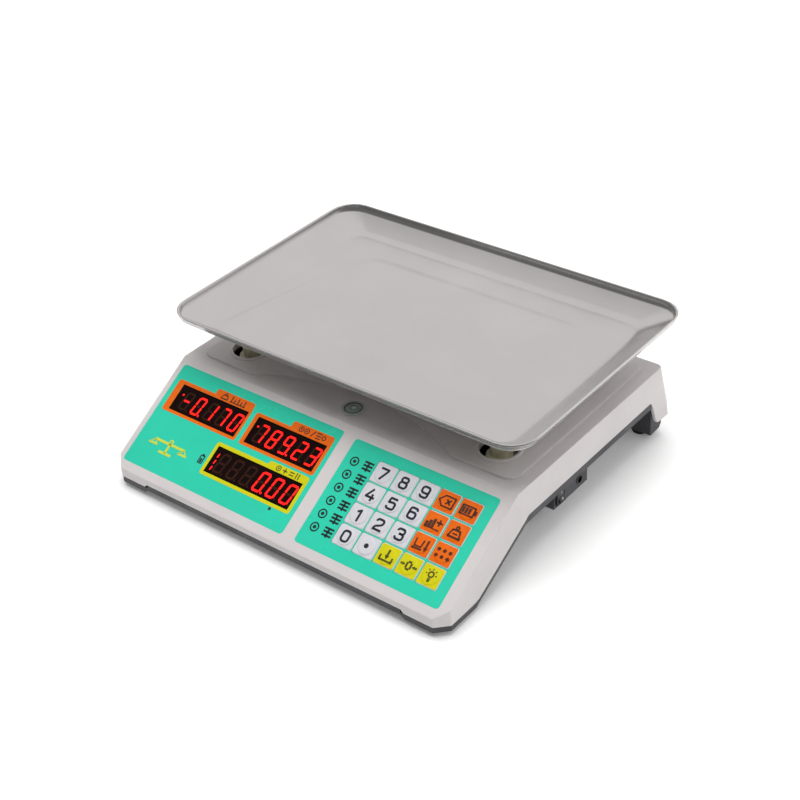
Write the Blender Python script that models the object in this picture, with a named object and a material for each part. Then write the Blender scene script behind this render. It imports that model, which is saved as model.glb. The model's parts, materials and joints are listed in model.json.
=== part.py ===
"""Retail price scale: a counter scale with a loose steel pan, a sloping key and display panel and
levelling feet.

Metres, +Z up, +X to the shopkeeper's right, +Y away from the shopkeeper. The origin is on the counter
under the middle of the scale. Every piece is an object of its own, and neighbours keep a small gap.
"""

import math

import bmesh
import bpy
from mathutils import Matrix, Vector

# ---- driving dimensions -------------------------------------------------------------------------

GAP = 0.0003                     # clearance between neighbouring pieces
LABEL_GAP = 0.00008              # clearance round a label, which fills its pocket closely
WALL = 0.0024                    # moulded wall thickness

PAN_WIDTH = 0.340
PAN_DEPTH = 0.225
PAN_CORNER = 0.022
PAN_SHEET = 0.0009
PAN_RIM_Z = 0.1110               # middle height of the rolled rim
PAN_FLOOR_Z = 0.0960             # upper face of the pan's flat floor
PAN_BEAD = 0.0012                # radius of the rolled rim

DECK_Z = 0.0695
HALF_WIDTH = 0.1627
PANEL_TILT = math.radians(30.3)
PANEL_RUN = 0.1045               # fold to front crease, down the slope
FOLD_TO_PAN = 0.1054             # fold line to pan centre
PAN_Y = (FOLD_TO_PAN + PANEL_RUN * math.cos(PANEL_TILT) - PAN_DEPTH / 2) / 2
FOLD_Y = PAN_Y - FOLD_TO_PAN
FRONT_Y = FOLD_Y - PANEL_RUN * math.cos(PANEL_TILT)
CREASE_Z = DECK_Z - PANEL_RUN * math.sin(PANEL_TILT)

SKIRT_Z = 0.0434                 # lower edge of the shell along the sides
SHELL_FOOT_Z = 0.0090            # lower edge of the shell at the front feet
SHELL_MIDDLE_Z = 0.0120          # lower edge of the shell between the front feet
BASE_FLOOR_Z = 0.0373            # underside of the raised floor of the base
BASE_FOOT_Z = 0.0040             # underside of the base at its feet
BASE_MIDDLE_Z = 0.0065           # underside of the base between the front feet
INCLINE_TOP_Y = -0.0555          # where the underside starts to slope down to the front feet
INCLINE_END_Y = -0.1121
FRONT_CHAMFER = 0.0093
MIDDLE_HALF = 0.1270             # half width of the raised stretch between the front feet
REAR_TOP_Y = 0.1300
REAR_EDGE_Y = 0.1412
REAR_EDGE_Z = 0.0310
TONGUE_Z = 0.0186                # lower edge of the shell at the back

POST_X = 0.1218
POST_Y = 0.0703                  # from the pan's centre
POST_RADIUS = 0.0068
COLLAR_HOLE = 0.0150
COLLAR_OUTER = 0.0175
PLATEAU_RISE = 0.0016
LEVEL_Y = -0.0470

OVERLAY_SHEET = 0.0008
DISPLAY_LABEL = (-0.1574, 0.0103, 0.0064, 0.0968)      # left, right, upper and lower edge on the slope
KEYPAD_LABEL = (0.0221, 0.1533, 0.0078, 0.0968)
WINDOWS = {
    "weight_display": (-0.1463, -0.0759, 0.0220, 0.0450),
    "price_display": (-0.0653, 0.0036, 0.0221, 0.0451),
    "total_display": (-0.0828, 0.0030, 0.0559, 0.0786),
}
LABEL_CORNER = 0.0028
MODULE_DEPTH = 0.0080
MODULE_DROP = 0.0003             # display face below the label's face

KEY_COLUMNS = 5
KEY_ROWS = 4
KEY_FIRST_X = 0.0593
KEY_FIRST_S = 0.0250
KEY_PITCH_X = 0.01905
KEY_PITCH_S = 0.0176
KEY_SIZE = (0.0182, 0.0167)
KEY_CORNER = 0.0016
KEY_TRAVEL = 0.0005
KEY_FACE = 0.0003                # crown of the key above the label
KEY_FIELD_MARGIN = 0.0006

WELL_Z = 0.0260                  # underside of the well for load cell and battery
WELL = (-0.0900, 0.0900, 0.0150, 0.1262)
CELL_SIZE = (0.130, 0.030, 0.022)
CELL_Z = 0.0357                  # underside of the load cell
SPIDER_Z = 0.0605                # underside of the spider's plate
SPIDER_SHEET = 0.0030
SCREW_X = 0.0550
SCREW_Y = 0.0080                 # half the distance between a pair of cell screws
SCREW_RADIUS = 0.0030

POWER_BOX = (0.1180, 0.1572, -0.0125, 0.0316)
POWER_BOX_Z = 0.0197
SWITCH_Y = -0.0050
SWITCH_Z = 0.0292
JACK_Y = 0.0212
JACK_Z = 0.0268
JACK_RADIUS = 0.0040
ROCKER_SWING = math.radians(9.0)

FOOT_PLACES = {
    "front_left": (-0.1400, -0.1350),
    "front_right": (0.1400, -0.1350),
    "rear_left": (-0.1430, 0.1316),
    "rear_right": (0.1430, 0.1316),
}
STUD_RADIUS = 0.0027
PAD_RADIUS = 0.0065
STUD_LENGTH = 0.0105

REAR_LABEL = (0.150, 0.028)
REAR_WINDOW = (0.116, 0.017)
REAR_RAISE = 0.0030              # label above the middle of the rear face
REAR_MODULE_DEPTH = 0.0040

# ---- materials ----------------------------------------------------------------------------------

MATERIALS = {
    "shell_plastic": ((0.66, 0.62, 0.60), 0.45, 0.0),
    "base_plastic": ((0.075, 0.075, 0.085), 0.55, 0.0),
    "pan_steel": ((0.62, 0.61, 0.60), 0.22, 1.0),
    "post_plastic": ((0.62, 0.58, 0.42), 0.40, 0.0),
    "frame_steel": ((0.45, 0.46, 0.48), 0.40, 1.0),
    "cell_aluminium": ((0.75, 0.76, 0.78), 0.35, 1.0),
    "screw_steel": ((0.35, 0.35, 0.37), 0.35, 1.0),
    "label_film": ((0.03, 0.62, 0.43), 0.35, 0.0),
    "white_key": ((0.74, 0.74, 0.76), 0.30, 0.0),
    "orange_key": ((0.83, 0.16, 0.01), 0.30, 0.0),
    "yellow_key": ((0.74, 0.70, 0.01), 0.30, 0.0),
    "display_lens": ((0.012, 0.006, 0.006), 0.15, 0.0),
    "circuit_board": ((0.02, 0.16, 0.06), 0.50, 0.0),
    "battery_case": ((0.03, 0.03, 0.035), 0.50, 0.0),
    "switch_plastic": ((0.012, 0.012, 0.014), 0.35, 0.0),
    "level_bezel": ((0.035, 0.037, 0.040), 0.35, 0.0),
    "level_vial": ((0.35, 0.50, 0.45), 0.08, 0.0),
    "foot_rubber": ((0.02, 0.02, 0.02), 0.85, 0.0),
}


def make_material(name):
    """Make the Principled material of that name from the table above."""
    colour, roughness, metallic = MATERIALS[name]
    material = bpy.data.materials.new(name)
    material.use_nodes = True
    shader = material.node_tree.nodes["Principled BSDF"]
    shader.inputs["Base Color"].default_value = (*colour, 1.0)
    shader.inputs["Roughness"].default_value = roughness
    shader.inputs["Metallic"].default_value = metallic
    material.diffuse_color = (*colour, 1.0)
    return material


# ---- mesh helpers -------------------------------------------------------------------------------

def rounded_rect(half_x, half_y, radius, centre=(0.0, 0.0), steps=4):
    """Outline of a rectangle with round corners, anticlockwise."""
    points = []
    for corner, (side_x, side_y) in enumerate(((1, 1), (-1, 1), (-1, -1), (1, -1))):
        for step in range(steps + 1):
            angle = math.pi / 2 * (corner + step / steps)
            points.append((
                centre[0] + side_x * (half_x - radius) + radius * math.cos(angle),
                centre[1] + side_y * (half_y - radius) + radius * math.sin(angle),
            ))
    return points


def circle(radius, centre=(0.0, 0.0), segments=32):
    """Outline of a circle, anticlockwise."""
    return [
        (centre[0] + radius * math.cos(math.tau * i / segments),
         centre[1] + radius * math.sin(math.tau * i / segments))
        for i in range(segments)
    ]


def inset(outline, distance):
    """The anticlockwise outline with every edge moved inwards by the distance."""
    count = len(outline)
    moved = []
    for i in range(count):
        before, here, after = (Vector(outline[j % count]) for j in (i - 1, i, i + 1))
        first = (here - before).normalized()
        second = (after - here).normalized()
        normal_a = Vector((-first.y, first.x))
        normal_b = Vector((-second.y, second.x))
        reach = distance / (1.0 + normal_a.dot(normal_b))
        moved.append(tuple(here + (normal_a + normal_b) * reach))
    return moved


def add_prism(bm, outline, axis, low, high):
    """Add a closed prism to the mesh. The outline runs in (Y, Z), (X, Z) or (X, Y) across the axis."""
    rings = []
    for level in (low, high):
        rings.append([])
        for u, v in outline:
            point = {"X": (level, u, v), "Y": (u, level, v), "Z": (u, v, level)}[axis]
            rings[-1].append(bm.verts.new(point))
    add_skin(bm, rings)


def add_skin(bm, rings):
    """Join rings of vertices into a closed skin with a cap at each end."""
    count = len(rings[0])
    for lower, upper in zip(rings, rings[1:]):
        for i in range(count):
            j = (i + 1) % count
            bm.faces.new((lower[i], lower[j], upper[j], upper[i]))
    bm.faces.new(list(reversed(rings[0])))
    bm.faces.new(rings[-1])


def add_box(bm, low, high):
    """Add a box between two corners."""
    outline = [(low[0], low[1]), (high[0], low[1]), (high[0], high[1]), (low[0], high[1])]
    add_prism(bm, outline, "Z", low[2], high[2])


def add_loft(bm, sections):
    """Add a closed skin through (outline, z) sections that all have as many points."""
    rings = [[bm.verts.new((x, y, z)) for x, y in outline] for outline, z in sections]
    add_skin(bm, rings)


def add_lathe(bm, profile, segments=32, closed=False):
    """Add a body of revolution about Z. The (radius, z) profile starts and ends on the axis, or is a loop."""
    rings = []
    for radius, z in profile:
        if radius == 0.0:
            rings.append([bm.verts.new((0.0, 0.0, z))])
        else:
            rings.append([bm.verts.new((x, y, z)) for x, y in circle(radius, segments=segments)])
    pairs = list(zip(rings, rings[1:]))
    if closed:
        pairs.append((rings[-1], rings[0]))
    for lower, upper in pairs:
        for i in range(segments):
            j = (i + 1) % segments
            below = [lower[i % len(lower)], lower[j % len(lower)]]
            above = [upper[j % len(upper)], upper[i % len(upper)]]
            bm.faces.new(list(dict.fromkeys(below + above)))


def add_mesh_object(name, bm, parent=None, location=(0.0, 0.0, 0.0), rotation=(0.0, 0.0, 0.0)):
    """Turn the mesh into a named object, with smooth shading that stops at real edges."""
    bmesh.ops.recalc_face_normals(bm, faces=bm.faces)
    for face in bm.faces:
        face.smooth = True
    for edge in bm.edges:
        edge.smooth = len(edge.link_faces) == 2 and edge.calc_face_angle() < math.radians(35)
    mesh = bpy.data.meshes.new(name)
    bm.to_mesh(mesh)
    bm.free()
    obj = bpy.data.objects.new(name, mesh)
    bpy.context.collection.objects.link(obj)
    obj.parent = parent
    obj.location = location
    obj.rotation_euler = rotation
    return obj


def add_part(name, bm, material, **placing):
    """Make a piece of the scale."""
    obj = add_mesh_object(name, bm, **placing)
    obj.data.materials.append(material)
    return obj


def add_tool(name, bm, **placing):
    """Make a helper that only cuts or joins other pieces."""
    tool = add_mesh_object(name, bm, **placing)
    tool.hide_render = True
    tool.display_type = "WIRE"
    return tool


def boolean(obj, tool, operation="DIFFERENCE"):
    """Cut the object with the tool, or join the tool to it."""
    modifier = obj.modifiers.new(tool.name, "BOOLEAN")
    modifier.operation = operation
    modifier.object = tool


def bevel(obj, width, segments=2):
    """Round the object's sharp edges."""
    modifier = obj.modifiers.new("rounding", "BEVEL")
    modifier.width = width
    modifier.segments = segments
    modifier.limit_method = "ANGLE"
    modifier.angle_limit = math.radians(30)


def chamfer_edges(bm, chosen, offset, segments=1):
    """Bevel the edges for which chosen(start, end) holds."""
    edges = [edge for edge in bm.edges if chosen(edge.verts[0].co, edge.verts[1].co)]
    bmesh.ops.bevel(bm, geom=edges, offset=offset, segments=segments, profile=0.5, affect="EDGES")


def chamfer_front_corners(bm, offset):
    """Chamfer the two upright edges at the front of a body."""
    front = min(vertex.co.y for vertex in bm.verts)
    chamfer_edges(bm, lambda a, b: abs(a.y - front) < 1e-6 and abs(b.y - front) < 1e-6
                  and abs(a.z - b.z) > 1e-4, offset)


def add_frame(name, location, rotation):
    """Make an empty that carries the pieces of a sloping face."""
    frame = bpy.data.objects.new(name, None)
    bpy.context.collection.objects.link(frame)
    frame.location = location
    frame.rotation_euler = rotation
    return frame


def slope_rect(edges, margin, corner):
    """Outline on the sloping panel, in the panel's own x and y, of (left, right, upper, lower) edges."""
    left, right, upper, lower = edges
    return rounded_rect((right - left) / 2 + margin, (lower - upper) / 2 + margin, corner,
                        centre=((left + right) / 2, -(upper + lower) / 2))


def centred_rect(size, margin, corner):
    """Outline of a label or window centred on its own frame."""
    return rounded_rect(size[0] / 2 + margin, size[1] / 2 + margin, corner)


# ---- outlines -----------------------------------------------------------------------------------

def shell_side():
    """Side view of the shell as (y, z), anticlockwise seen from +X."""
    return [
        (FRONT_Y, SHELL_FOOT_Z),
        (-0.1170, SHELL_FOOT_Z),
        (INCLINE_END_Y, 0.0103),
        (INCLINE_TOP_Y, 0.0407),
        (-0.0525, SKIRT_Z - 0.0004),
        (-0.0500, SKIRT_Z),
        (0.1128, SKIRT_Z),
        (0.1142, 0.0425),
        (0.1165, 0.0376),
        (0.1218, 0.0226),
        (0.1238, 0.0195),
        (0.1268, TONGUE_Z),
        (REAR_EDGE_Y - 0.0012, TONGUE_Z),
        (REAR_EDGE_Y, TONGUE_Z + 0.0015),
        (REAR_EDGE_Y, REAR_EDGE_Z),
        (REAR_TOP_Y, DECK_Z),
        (FOLD_Y, DECK_Z),
        (FRONT_Y, CREASE_Z),
    ]


def shell_side_inside():
    """The hollow of the shell, open at the bottom."""
    below = -0.02
    outside = [
        (FRONT_Y, below),
        (REAR_EDGE_Y, below),
        (REAR_EDGE_Y, REAR_EDGE_Z),
        (REAR_TOP_Y, DECK_Z),
        (FOLD_Y, DECK_Z),
        (FRONT_Y, CREASE_Z),
    ]
    return inset(outside, WALL)


def plateau_outline():
    """The low plateau on the deck, whose front edge is cut back in an arc between the front posts."""
    half = 0.1525
    front = PAN_Y - 0.0965
    rear = PAN_Y + 0.0790
    corner = 0.0095
    arc_half = 0.0980
    arc_rise = 0.0255
    radius = (arc_half ** 2 + arc_rise ** 2) / (2 * arc_rise)
    spread = math.asin(arc_half / radius)
    points = []
    for step in range(17):
        angle = spread * (step / 8 - 1)
        points.append((radius * math.sin(angle), front + arc_rise - radius * (1 - math.cos(angle))))
    body = rounded_rect(half, (rear - front) / 2, corner, centre=(0.0, (rear + front) / 2), steps=4)
    right_rear, left_rear, left_front, right_front = (body[i:i + 5] for i in (0, 5, 10, 15))
    return right_rear + left_rear + left_front + points + right_front


def base_underside():
    """Lower edge of the base's side view, front to back."""
    return [
        (FRONT_Y + 0.0002, BASE_FOOT_Z),
        (-0.1162, BASE_FOOT_Z),
        (-0.1118, 0.0066),
        (-0.0542, BASE_FLOOR_Z),
        (0.1161, BASE_FLOOR_Z),
    ]


# ---- outer casing -------------------------------------------------------------------------------

def build_top_housing(materials, panel, rear_face):
    """The off-white shell with its deck, sloping panel, plateau and post collars."""
    bm = bmesh.new()
    add_prism(bm, shell_side(), "X", -HALF_WIDTH, HALF_WIDTH)
    chamfer_front_corners(bm, FRONT_CHAMFER)
    chamfer_edges(bm, lambda a, b: a.y > REAR_TOP_Y - 1e-4 and b.y > REAR_TOP_Y - 1e-4
                  and abs(a.x - b.x) < 1e-6 and abs(a.x) > 0.16 and min(a.z, b.z) > TONGUE_Z + 0.001,
                  0.0045, segments=3)
    shell = add_part("top_housing", bm, materials["shell_plastic"])
    bevel(shell, 0.0011)

    bm = bmesh.new()
    add_prism(bm, plateau_outline(), "Z", DECK_Z - WALL / 2, DECK_Z + PLATEAU_RISE)
    top = DECK_Z + PLATEAU_RISE
    chamfer_edges(bm, lambda a, b: min(a.z, b.z) > top - 1e-6, 0.0012, segments=2)
    boolean(shell, add_tool("tool_plateau", bm), "UNION")

    bm = bmesh.new()
    for x in (-POST_X, POST_X):
        for y in (PAN_Y - POST_Y, PAN_Y + POST_Y):
            top = DECK_Z + PLATEAU_RISE + 0.0010
            sections = [
                (circle(COLLAR_OUTER, (x, y)), DECK_Z - WALL / 2),
                (circle(COLLAR_OUTER, (x, y)), top - 0.0006),
                (circle(COLLAR_OUTER - 0.0008, (x, y)), top),
            ]
            add_loft(bm, sections)
    boolean(shell, add_tool("tool_collars", bm), "UNION")

    bm = bmesh.new()
    add_prism(bm, shell_side_inside(), "X", -HALF_WIDTH + WALL, HALF_WIDTH - WALL)
    chamfer_front_corners(bm, FRONT_CHAMFER + WALL * (math.sqrt(2) - 2))
    boolean(shell, add_tool("tool_shell_hollow", bm))

    bm = bmesh.new()
    middle = [(-MIDDLE_HALF - 0.0015, 0.0), (MIDDLE_HALF + 0.0015, 0.0),
              (MIDDLE_HALF + 0.0015, SHELL_FOOT_Z), (MIDDLE_HALF - 0.0015, SHELL_MIDDLE_Z),
              (-MIDDLE_HALF + 0.0015, SHELL_MIDDLE_Z), (-MIDDLE_HALF - 0.0015, SHELL_FOOT_Z)]
    add_prism(bm, middle, "Y", FRONT_Y - 0.01, FRONT_Y + 0.01)
    for x in (-POST_X, POST_X):
        for y in (PAN_Y - POST_Y, PAN_Y + POST_Y):
            add_prism(bm, circle(COLLAR_HOLE, (x, y)), "Z", DECK_Z - 0.006, DECK_Z + 0.006)
    add_prism(bm, circle(0.0080, (0.0, LEVEL_Y)), "Z", DECK_Z - 0.006, DECK_Z + 0.006)
    boolean(shell, add_tool("tool_deck_holes", bm))

    bm = bmesh.new()
    pocket = OVERLAY_SHEET + LABEL_GAP
    for label in (DISPLAY_LABEL, KEYPAD_LABEL):
        add_prism(bm, slope_rect(label, LABEL_GAP, LABEL_CORNER + LABEL_GAP), "Z", -pocket, 0.004)
    boolean(shell, add_tool("tool_label_pockets", bm, parent=panel))

    bm = bmesh.new()
    for window in WINDOWS.values():
        add_prism(bm, slope_rect(window, GAP, 0.0006), "Z", -0.008, 0.003)
    add_prism(bm, slope_rect(key_field(), 0.0, 0.0015), "Z", -0.008, 0.003)
    boolean(shell, add_tool("tool_panel_openings", bm, parent=panel))

    bm = bmesh.new()
    add_prism(bm, centred_rect(REAR_LABEL, LABEL_GAP, 0.003), "Z", -pocket, 0.004)
    boolean(shell, add_tool("tool_rear_pocket", bm, parent=rear_face))
    bm = bmesh.new()
    add_prism(bm, centred_rect(REAR_WINDOW, GAP, 0.0006), "Z", -0.006, 0.003)
    boolean(shell, add_tool("tool_rear_opening", bm, parent=rear_face))


def build_base_housing(materials):
    """The dark tray under the shell, with front feet, rear legs, the well and the power box."""
    parting = [(0.1138, 0.0423), (0.1125, SKIRT_Z - GAP), (-0.0497, SKIRT_Z - GAP),
               (-0.0522, SKIRT_Z - GAP - 0.0004), (-0.0552, 0.0404), (-0.1120, 0.0100),
               (-0.1170, SHELL_FOOT_Z - GAP),
               (FRONT_Y + 0.0002, SHELL_FOOT_Z - GAP)]
    bm = bmesh.new()
    add_prism(bm, base_underside() + parting, "X", -HALF_WIDTH + 0.0005, HALF_WIDTH - 0.0005)
    chamfer_front_corners(bm, FRONT_CHAMFER)
    base = add_part("base_housing", bm, materials["base_plastic"])

    rim = WALL + GAP
    inner_side = [(FRONT_Y + rim, BASE_FOOT_Z), (-0.1162, BASE_FOOT_Z), (-0.1118, 0.0066),
                  (-0.0542, BASE_FLOOR_Z), (0.1320, BASE_FLOOR_Z), (0.1320, SKIRT_Z + 0.002),
                  (-0.0560, SKIRT_Z + 0.002), (-0.1130, 0.0130), (FRONT_Y + rim, 0.0130)]
    bm = bmesh.new()
    add_prism(bm, inner_side, "X", -HALF_WIDTH + rim, HALF_WIDTH - rim)
    chamfer_front_corners(bm, FRONT_CHAMFER + rim * (math.sqrt(2) - 2))
    boolean(base, add_tool("tool_inner_rim", bm), "UNION")

    left, right, front, rear = POWER_BOX
    bm = bmesh.new()
    add_box(bm, (WELL[0], WELL[2], WELL_Z), (WELL[1], WELL[3], BASE_FLOOR_Z + 0.001))
    add_box(bm, (left, front, POWER_BOX_Z), (right, rear, BASE_FLOOR_Z + 0.001))
    leg = [(0.1245, BASE_FOOT_Z), (0.1376, BASE_FOOT_Z), (0.1404, 0.0075), (0.1404, TONGUE_Z - GAP),
           (0.1340, TONGUE_Z - GAP), (0.1340, BASE_FLOOR_Z + 0.001), (0.1245, BASE_FLOOR_Z + 0.001)]
    add_prism(bm, leg, "X", -0.1565, -0.1180)
    add_prism(bm, leg, "X", 0.1180, 0.1565)
    boolean(base, add_tool("tool_base_boxes", bm), "UNION")

    bm = bmesh.new()
    add_box(bm, (-MIDDLE_HALF + 0.0020, FRONT_Y + 0.0002, SHELL_FOOT_Z - 0.0010),
            (MIDDLE_HALF - 0.0020, FRONT_Y + rim + 0.0005, SHELL_MIDDLE_Z - GAP))
    boolean(base, add_tool("tool_front_strip", bm), "UNION")

    foot_floor = BASE_FOOT_Z + WALL + 0.0025
    hollow = [(FRONT_Y + rim + WALL, foot_floor), (-0.1150, foot_floor),
              (-0.0548, BASE_FLOOR_Z + WALL), (0.1296, BASE_FLOOR_Z + WALL), (0.1296, DECK_Z),
              (-0.0900, DECK_Z), (FRONT_Y + rim + WALL, 0.0300)]
    bm = bmesh.new()
    add_prism(bm, hollow, "X", -HALF_WIDTH + rim + WALL, HALF_WIDTH - rim - WALL)
    chamfer_front_corners(bm, FRONT_CHAMFER + (rim + WALL) * (math.sqrt(2) - 2))
    boolean(base, add_tool("tool_base_hollow", bm))

    bm = bmesh.new()
    add_box(bm, (WELL[0] + WALL, WELL[2] + WALL, WELL_Z + WALL), (WELL[1] - WALL, WELL[3] - WALL, DECK_Z))
    add_box(bm, (left + WALL, front + WALL, POWER_BOX_Z + WALL), (right - WALL, rear - WALL, DECK_Z))
    boolean(base, add_tool("tool_wells", bm))

    bm = bmesh.new()
    notch = [(-MIDDLE_HALF - 0.0015, 0.0), (MIDDLE_HALF + 0.0015, 0.0),
             (MIDDLE_HALF + 0.0015, BASE_FOOT_Z), (MIDDLE_HALF - 0.0015, BASE_MIDDLE_Z),
             (-MIDDLE_HALF + 0.0015, BASE_MIDDLE_Z), (-MIDDLE_HALF - 0.0015, BASE_FOOT_Z)]
    add_prism(bm, notch, "Y", FRONT_Y - 0.01, -0.1118)
    for x, y in FOOT_PLACES.values():
        add_prism(bm, circle(STUD_RADIUS + GAP, (x, y), 20), "Z", 0.0, BASE_FOOT_Z + STUD_LENGTH)
    for y in (PAN_Y - SCREW_Y, PAN_Y + SCREW_Y):
        add_prism(bm, circle(SCREW_RADIUS + GAP, (-SCREW_X, y), 20), "Z", WELL_Z - 0.002, WELL_Z + 0.004)
    door_x, door_y = battery_door_size()
    add_box(bm, (-door_x / 2 - GAP, battery_centre_y() - door_y / 2 - GAP, WELL_Z - 0.002),
            (door_x / 2 + GAP, battery_centre_y() + door_y / 2 + GAP, WELL_Z + 0.004))
    add_prism(bm, circle(JACK_RADIUS + GAP, (JACK_Y, JACK_Z), 24), "X", right - 0.004, right + 0.002)
    switch = rounded_rect(0.0046 + GAP, 0.0066 + GAP, 0.0004, centre=(SWITCH_Y, SWITCH_Z), steps=1)
    add_prism(bm, switch, "X", right - 0.004, right + 0.002)
    boolean(base, add_tool("tool_base_holes", bm))


# ---- weighing platform --------------------------------------------------------------------------

def pan_section(inset_x, inset_y, corner, z):
    """A rounded outline of the pan, inset from its outer edge, at a height."""
    outline = rounded_rect(PAN_WIDTH / 2 - inset_x, PAN_DEPTH / 2 - inset_y, corner,
                           centre=(0.0, PAN_Y), steps=5)
    return outline, z


def build_pan(materials):
    """The pressed sheet pan: platform, floor, sloping sides, short upright wall and rolled rim."""
    upper = [
        pan_section(0.0620, 0.0500, 0.018, PAN_FLOOR_Z + 0.0012),
        pan_section(0.0570, 0.0450, 0.022, PAN_FLOOR_Z),
        pan_section(0.0285, 0.0215, 0.010, PAN_FLOOR_Z),
        pan_section(0.0240, 0.0175, 0.012, PAN_FLOOR_Z + 0.0012),
        pan_section(0.0040, 0.0040, 0.0185, PAN_RIM_Z - 0.0052),
        pan_section(0.0026, 0.0026, 0.0196, PAN_RIM_Z - 0.0040),
    ]
    bead = []
    for step in range(7):
        angle = math.radians(180 - 45 * step)
        offset = PAN_BEAD * (1 - math.cos(angle))
        bead.append(pan_section(offset, offset, PAN_CORNER - offset, PAN_RIM_Z + PAN_BEAD * math.sin(angle)))
    under = [
        pan_section(0.0019, 0.0019, 0.0200, PAN_RIM_Z - 0.0042),
        pan_section(0.0034, 0.0034, 0.0190, PAN_RIM_Z - 0.0060),
        pan_section(0.0236, 0.0171, 0.012, PAN_FLOOR_Z + 0.0012 - PAN_SHEET),
        pan_section(0.0283, 0.0213, 0.010, PAN_FLOOR_Z - PAN_SHEET),
        pan_section(0.0572, 0.0452, 0.022, PAN_FLOOR_Z - PAN_SHEET),
        pan_section(0.0622, 0.0502, 0.018, PAN_FLOOR_Z + 0.0012 - PAN_SHEET),
    ]
    bm = bmesh.new()
    add_loft(bm, upper + bead + under)
    add_part("weighing_pan", bm, materials["pan_steel"])


def build_posts(materials):
    """Four posts that stand on the spider and carry the pan."""
    foot = SPIDER_Z + SPIDER_SHEET + GAP
    top = PAN_FLOOR_Z - PAN_SHEET - GAP
    for side, x in (("left", -POST_X), ("right", POST_X)):
        for end, y in (("front", PAN_Y - POST_Y), ("rear", PAN_Y + POST_Y)):
            bm = bmesh.new()
            add_lathe(bm, [(0.0, 0.0), (0.0100, 0.0), (0.0100, 0.0026), (POST_RADIUS, 0.0026),
                           (POST_RADIUS, top - foot - 0.0010), (POST_RADIUS - 0.0010, top - foot),
                           (0.0, top - foot)], 24)
            add_part(f"pan_post_{end}_{side}", bm, materials["post_plastic"], location=(x, y, foot))


def build_spider(materials):
    """The H-shaped steel plate that carries the posts, with the seat that bolts to the load cell."""
    arm = 0.0100
    reach_y = POST_Y + 0.0110
    half_bar = 0.0150
    outline = [(x, PAN_Y + y) for x, y in (
        (-POST_X - arm, -reach_y), (-POST_X + arm, -reach_y), (-POST_X + arm, -half_bar),
        (POST_X - arm, -half_bar), (POST_X - arm, -reach_y), (POST_X + arm, -reach_y),
        (POST_X + arm, reach_y), (POST_X - arm, reach_y), (POST_X - arm, half_bar),
        (-POST_X + arm, half_bar), (-POST_X + arm, reach_y), (-POST_X - arm, reach_y))]
    bm = bmesh.new()
    add_prism(bm, outline, "Z", SPIDER_Z, SPIDER_Z + SPIDER_SHEET)
    spider = add_part("load_spider", bm, materials["frame_steel"])
    seat_z = CELL_Z + CELL_SIZE[2] + GAP
    bm = bmesh.new()
    add_box(bm, (SCREW_X - 0.010, PAN_Y - 0.0145, seat_z),
            (SCREW_X + 0.010, PAN_Y + 0.0145, SPIDER_Z + 0.001))
    boolean(spider, add_tool("tool_spider_seat", bm), "UNION")
    bm = bmesh.new()
    for y in (PAN_Y - SCREW_Y, PAN_Y + SCREW_Y):
        add_prism(bm, circle(SCREW_RADIUS + GAP, (SCREW_X, y), 20), "Z", seat_z - 0.002, SPIDER_Z + 0.006)
    boolean(spider, add_tool("tool_spider_holes", bm))


def build_load_cell(materials):
    """The single-point load cell, its bracket on the base, and the four screws."""
    half_x, half_y, height = CELL_SIZE[0] / 2, CELL_SIZE[1] / 2, CELL_SIZE[2]
    bm = bmesh.new()
    add_box(bm, (-half_x, PAN_Y - half_y, CELL_Z), (half_x, PAN_Y + half_y, CELL_Z + height))
    cell = add_part("load_cell", bm, materials["cell_aluminium"])
    bm = bmesh.new()
    bean = rounded_rect(0.0260, 0.0070, 0.0069, centre=(0.0, CELL_Z + height / 2), steps=6)
    add_prism(bm, bean, "Y", PAN_Y - 0.02, PAN_Y + 0.02)
    depth = 0.010
    for y in (PAN_Y - SCREW_Y, PAN_Y + SCREW_Y):
        add_prism(bm, circle(SCREW_RADIUS + GAP, (SCREW_X, y), 20), "Z",
                  CELL_Z + height - depth, CELL_Z + height + 0.002)
        add_prism(bm, circle(SCREW_RADIUS + GAP, (-SCREW_X, y), 20), "Z", CELL_Z - 0.002, CELL_Z + depth)
    boolean(cell, add_tool("tool_cell_holes", bm))

    bm = bmesh.new()
    add_box(bm, (-SCREW_X - 0.010, PAN_Y - 0.016, WELL_Z + WALL + GAP),
            (-SCREW_X + 0.010, PAN_Y + 0.016, CELL_Z - GAP))
    bracket = add_part("cell_bracket", bm, materials["frame_steel"])
    bm = bmesh.new()
    for y in (PAN_Y - SCREW_Y, PAN_Y + SCREW_Y):
        add_prism(bm, circle(SCREW_RADIUS + GAP, (-SCREW_X, y), 20), "Z", WELL_Z, CELL_Z + 0.001)
    boolean(bracket, add_tool("tool_bracket_holes", bm))

    spider_top = SPIDER_Z + SPIDER_SHEET
    for end, y in (("front", PAN_Y - SCREW_Y), ("rear", PAN_Y + SCREW_Y)):
        length = spider_top + GAP - (CELL_Z + height - depth) - 0.001
        add_screw(f"spider_screw_{end}", length, materials, (SCREW_X, y, spider_top + GAP), 0.0)
        length = CELL_Z + depth - (WELL_Z - GAP) - 0.001
        add_screw(f"bracket_screw_{end}", length, materials, (-SCREW_X, y, WELL_Z - GAP), math.pi)


def add_screw(name, length, materials, location, turn):
    """A low-head screw: its head stands on its origin and its shank runs down."""
    bm = bmesh.new()
    add_lathe(bm, [(0.0, -length), (SCREW_RADIUS, -length), (SCREW_RADIUS, 0.0), (0.0050, 0.0),
                   (0.0050, 0.0020), (0.0044, 0.0027), (0.0, 0.0027)], 16)
    add_part(name, bm, materials["screw_steel"], location=location, rotation=(turn, 0.0, 0.0))


# ---- panel --------------------------------------------------------------------------------------

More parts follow.
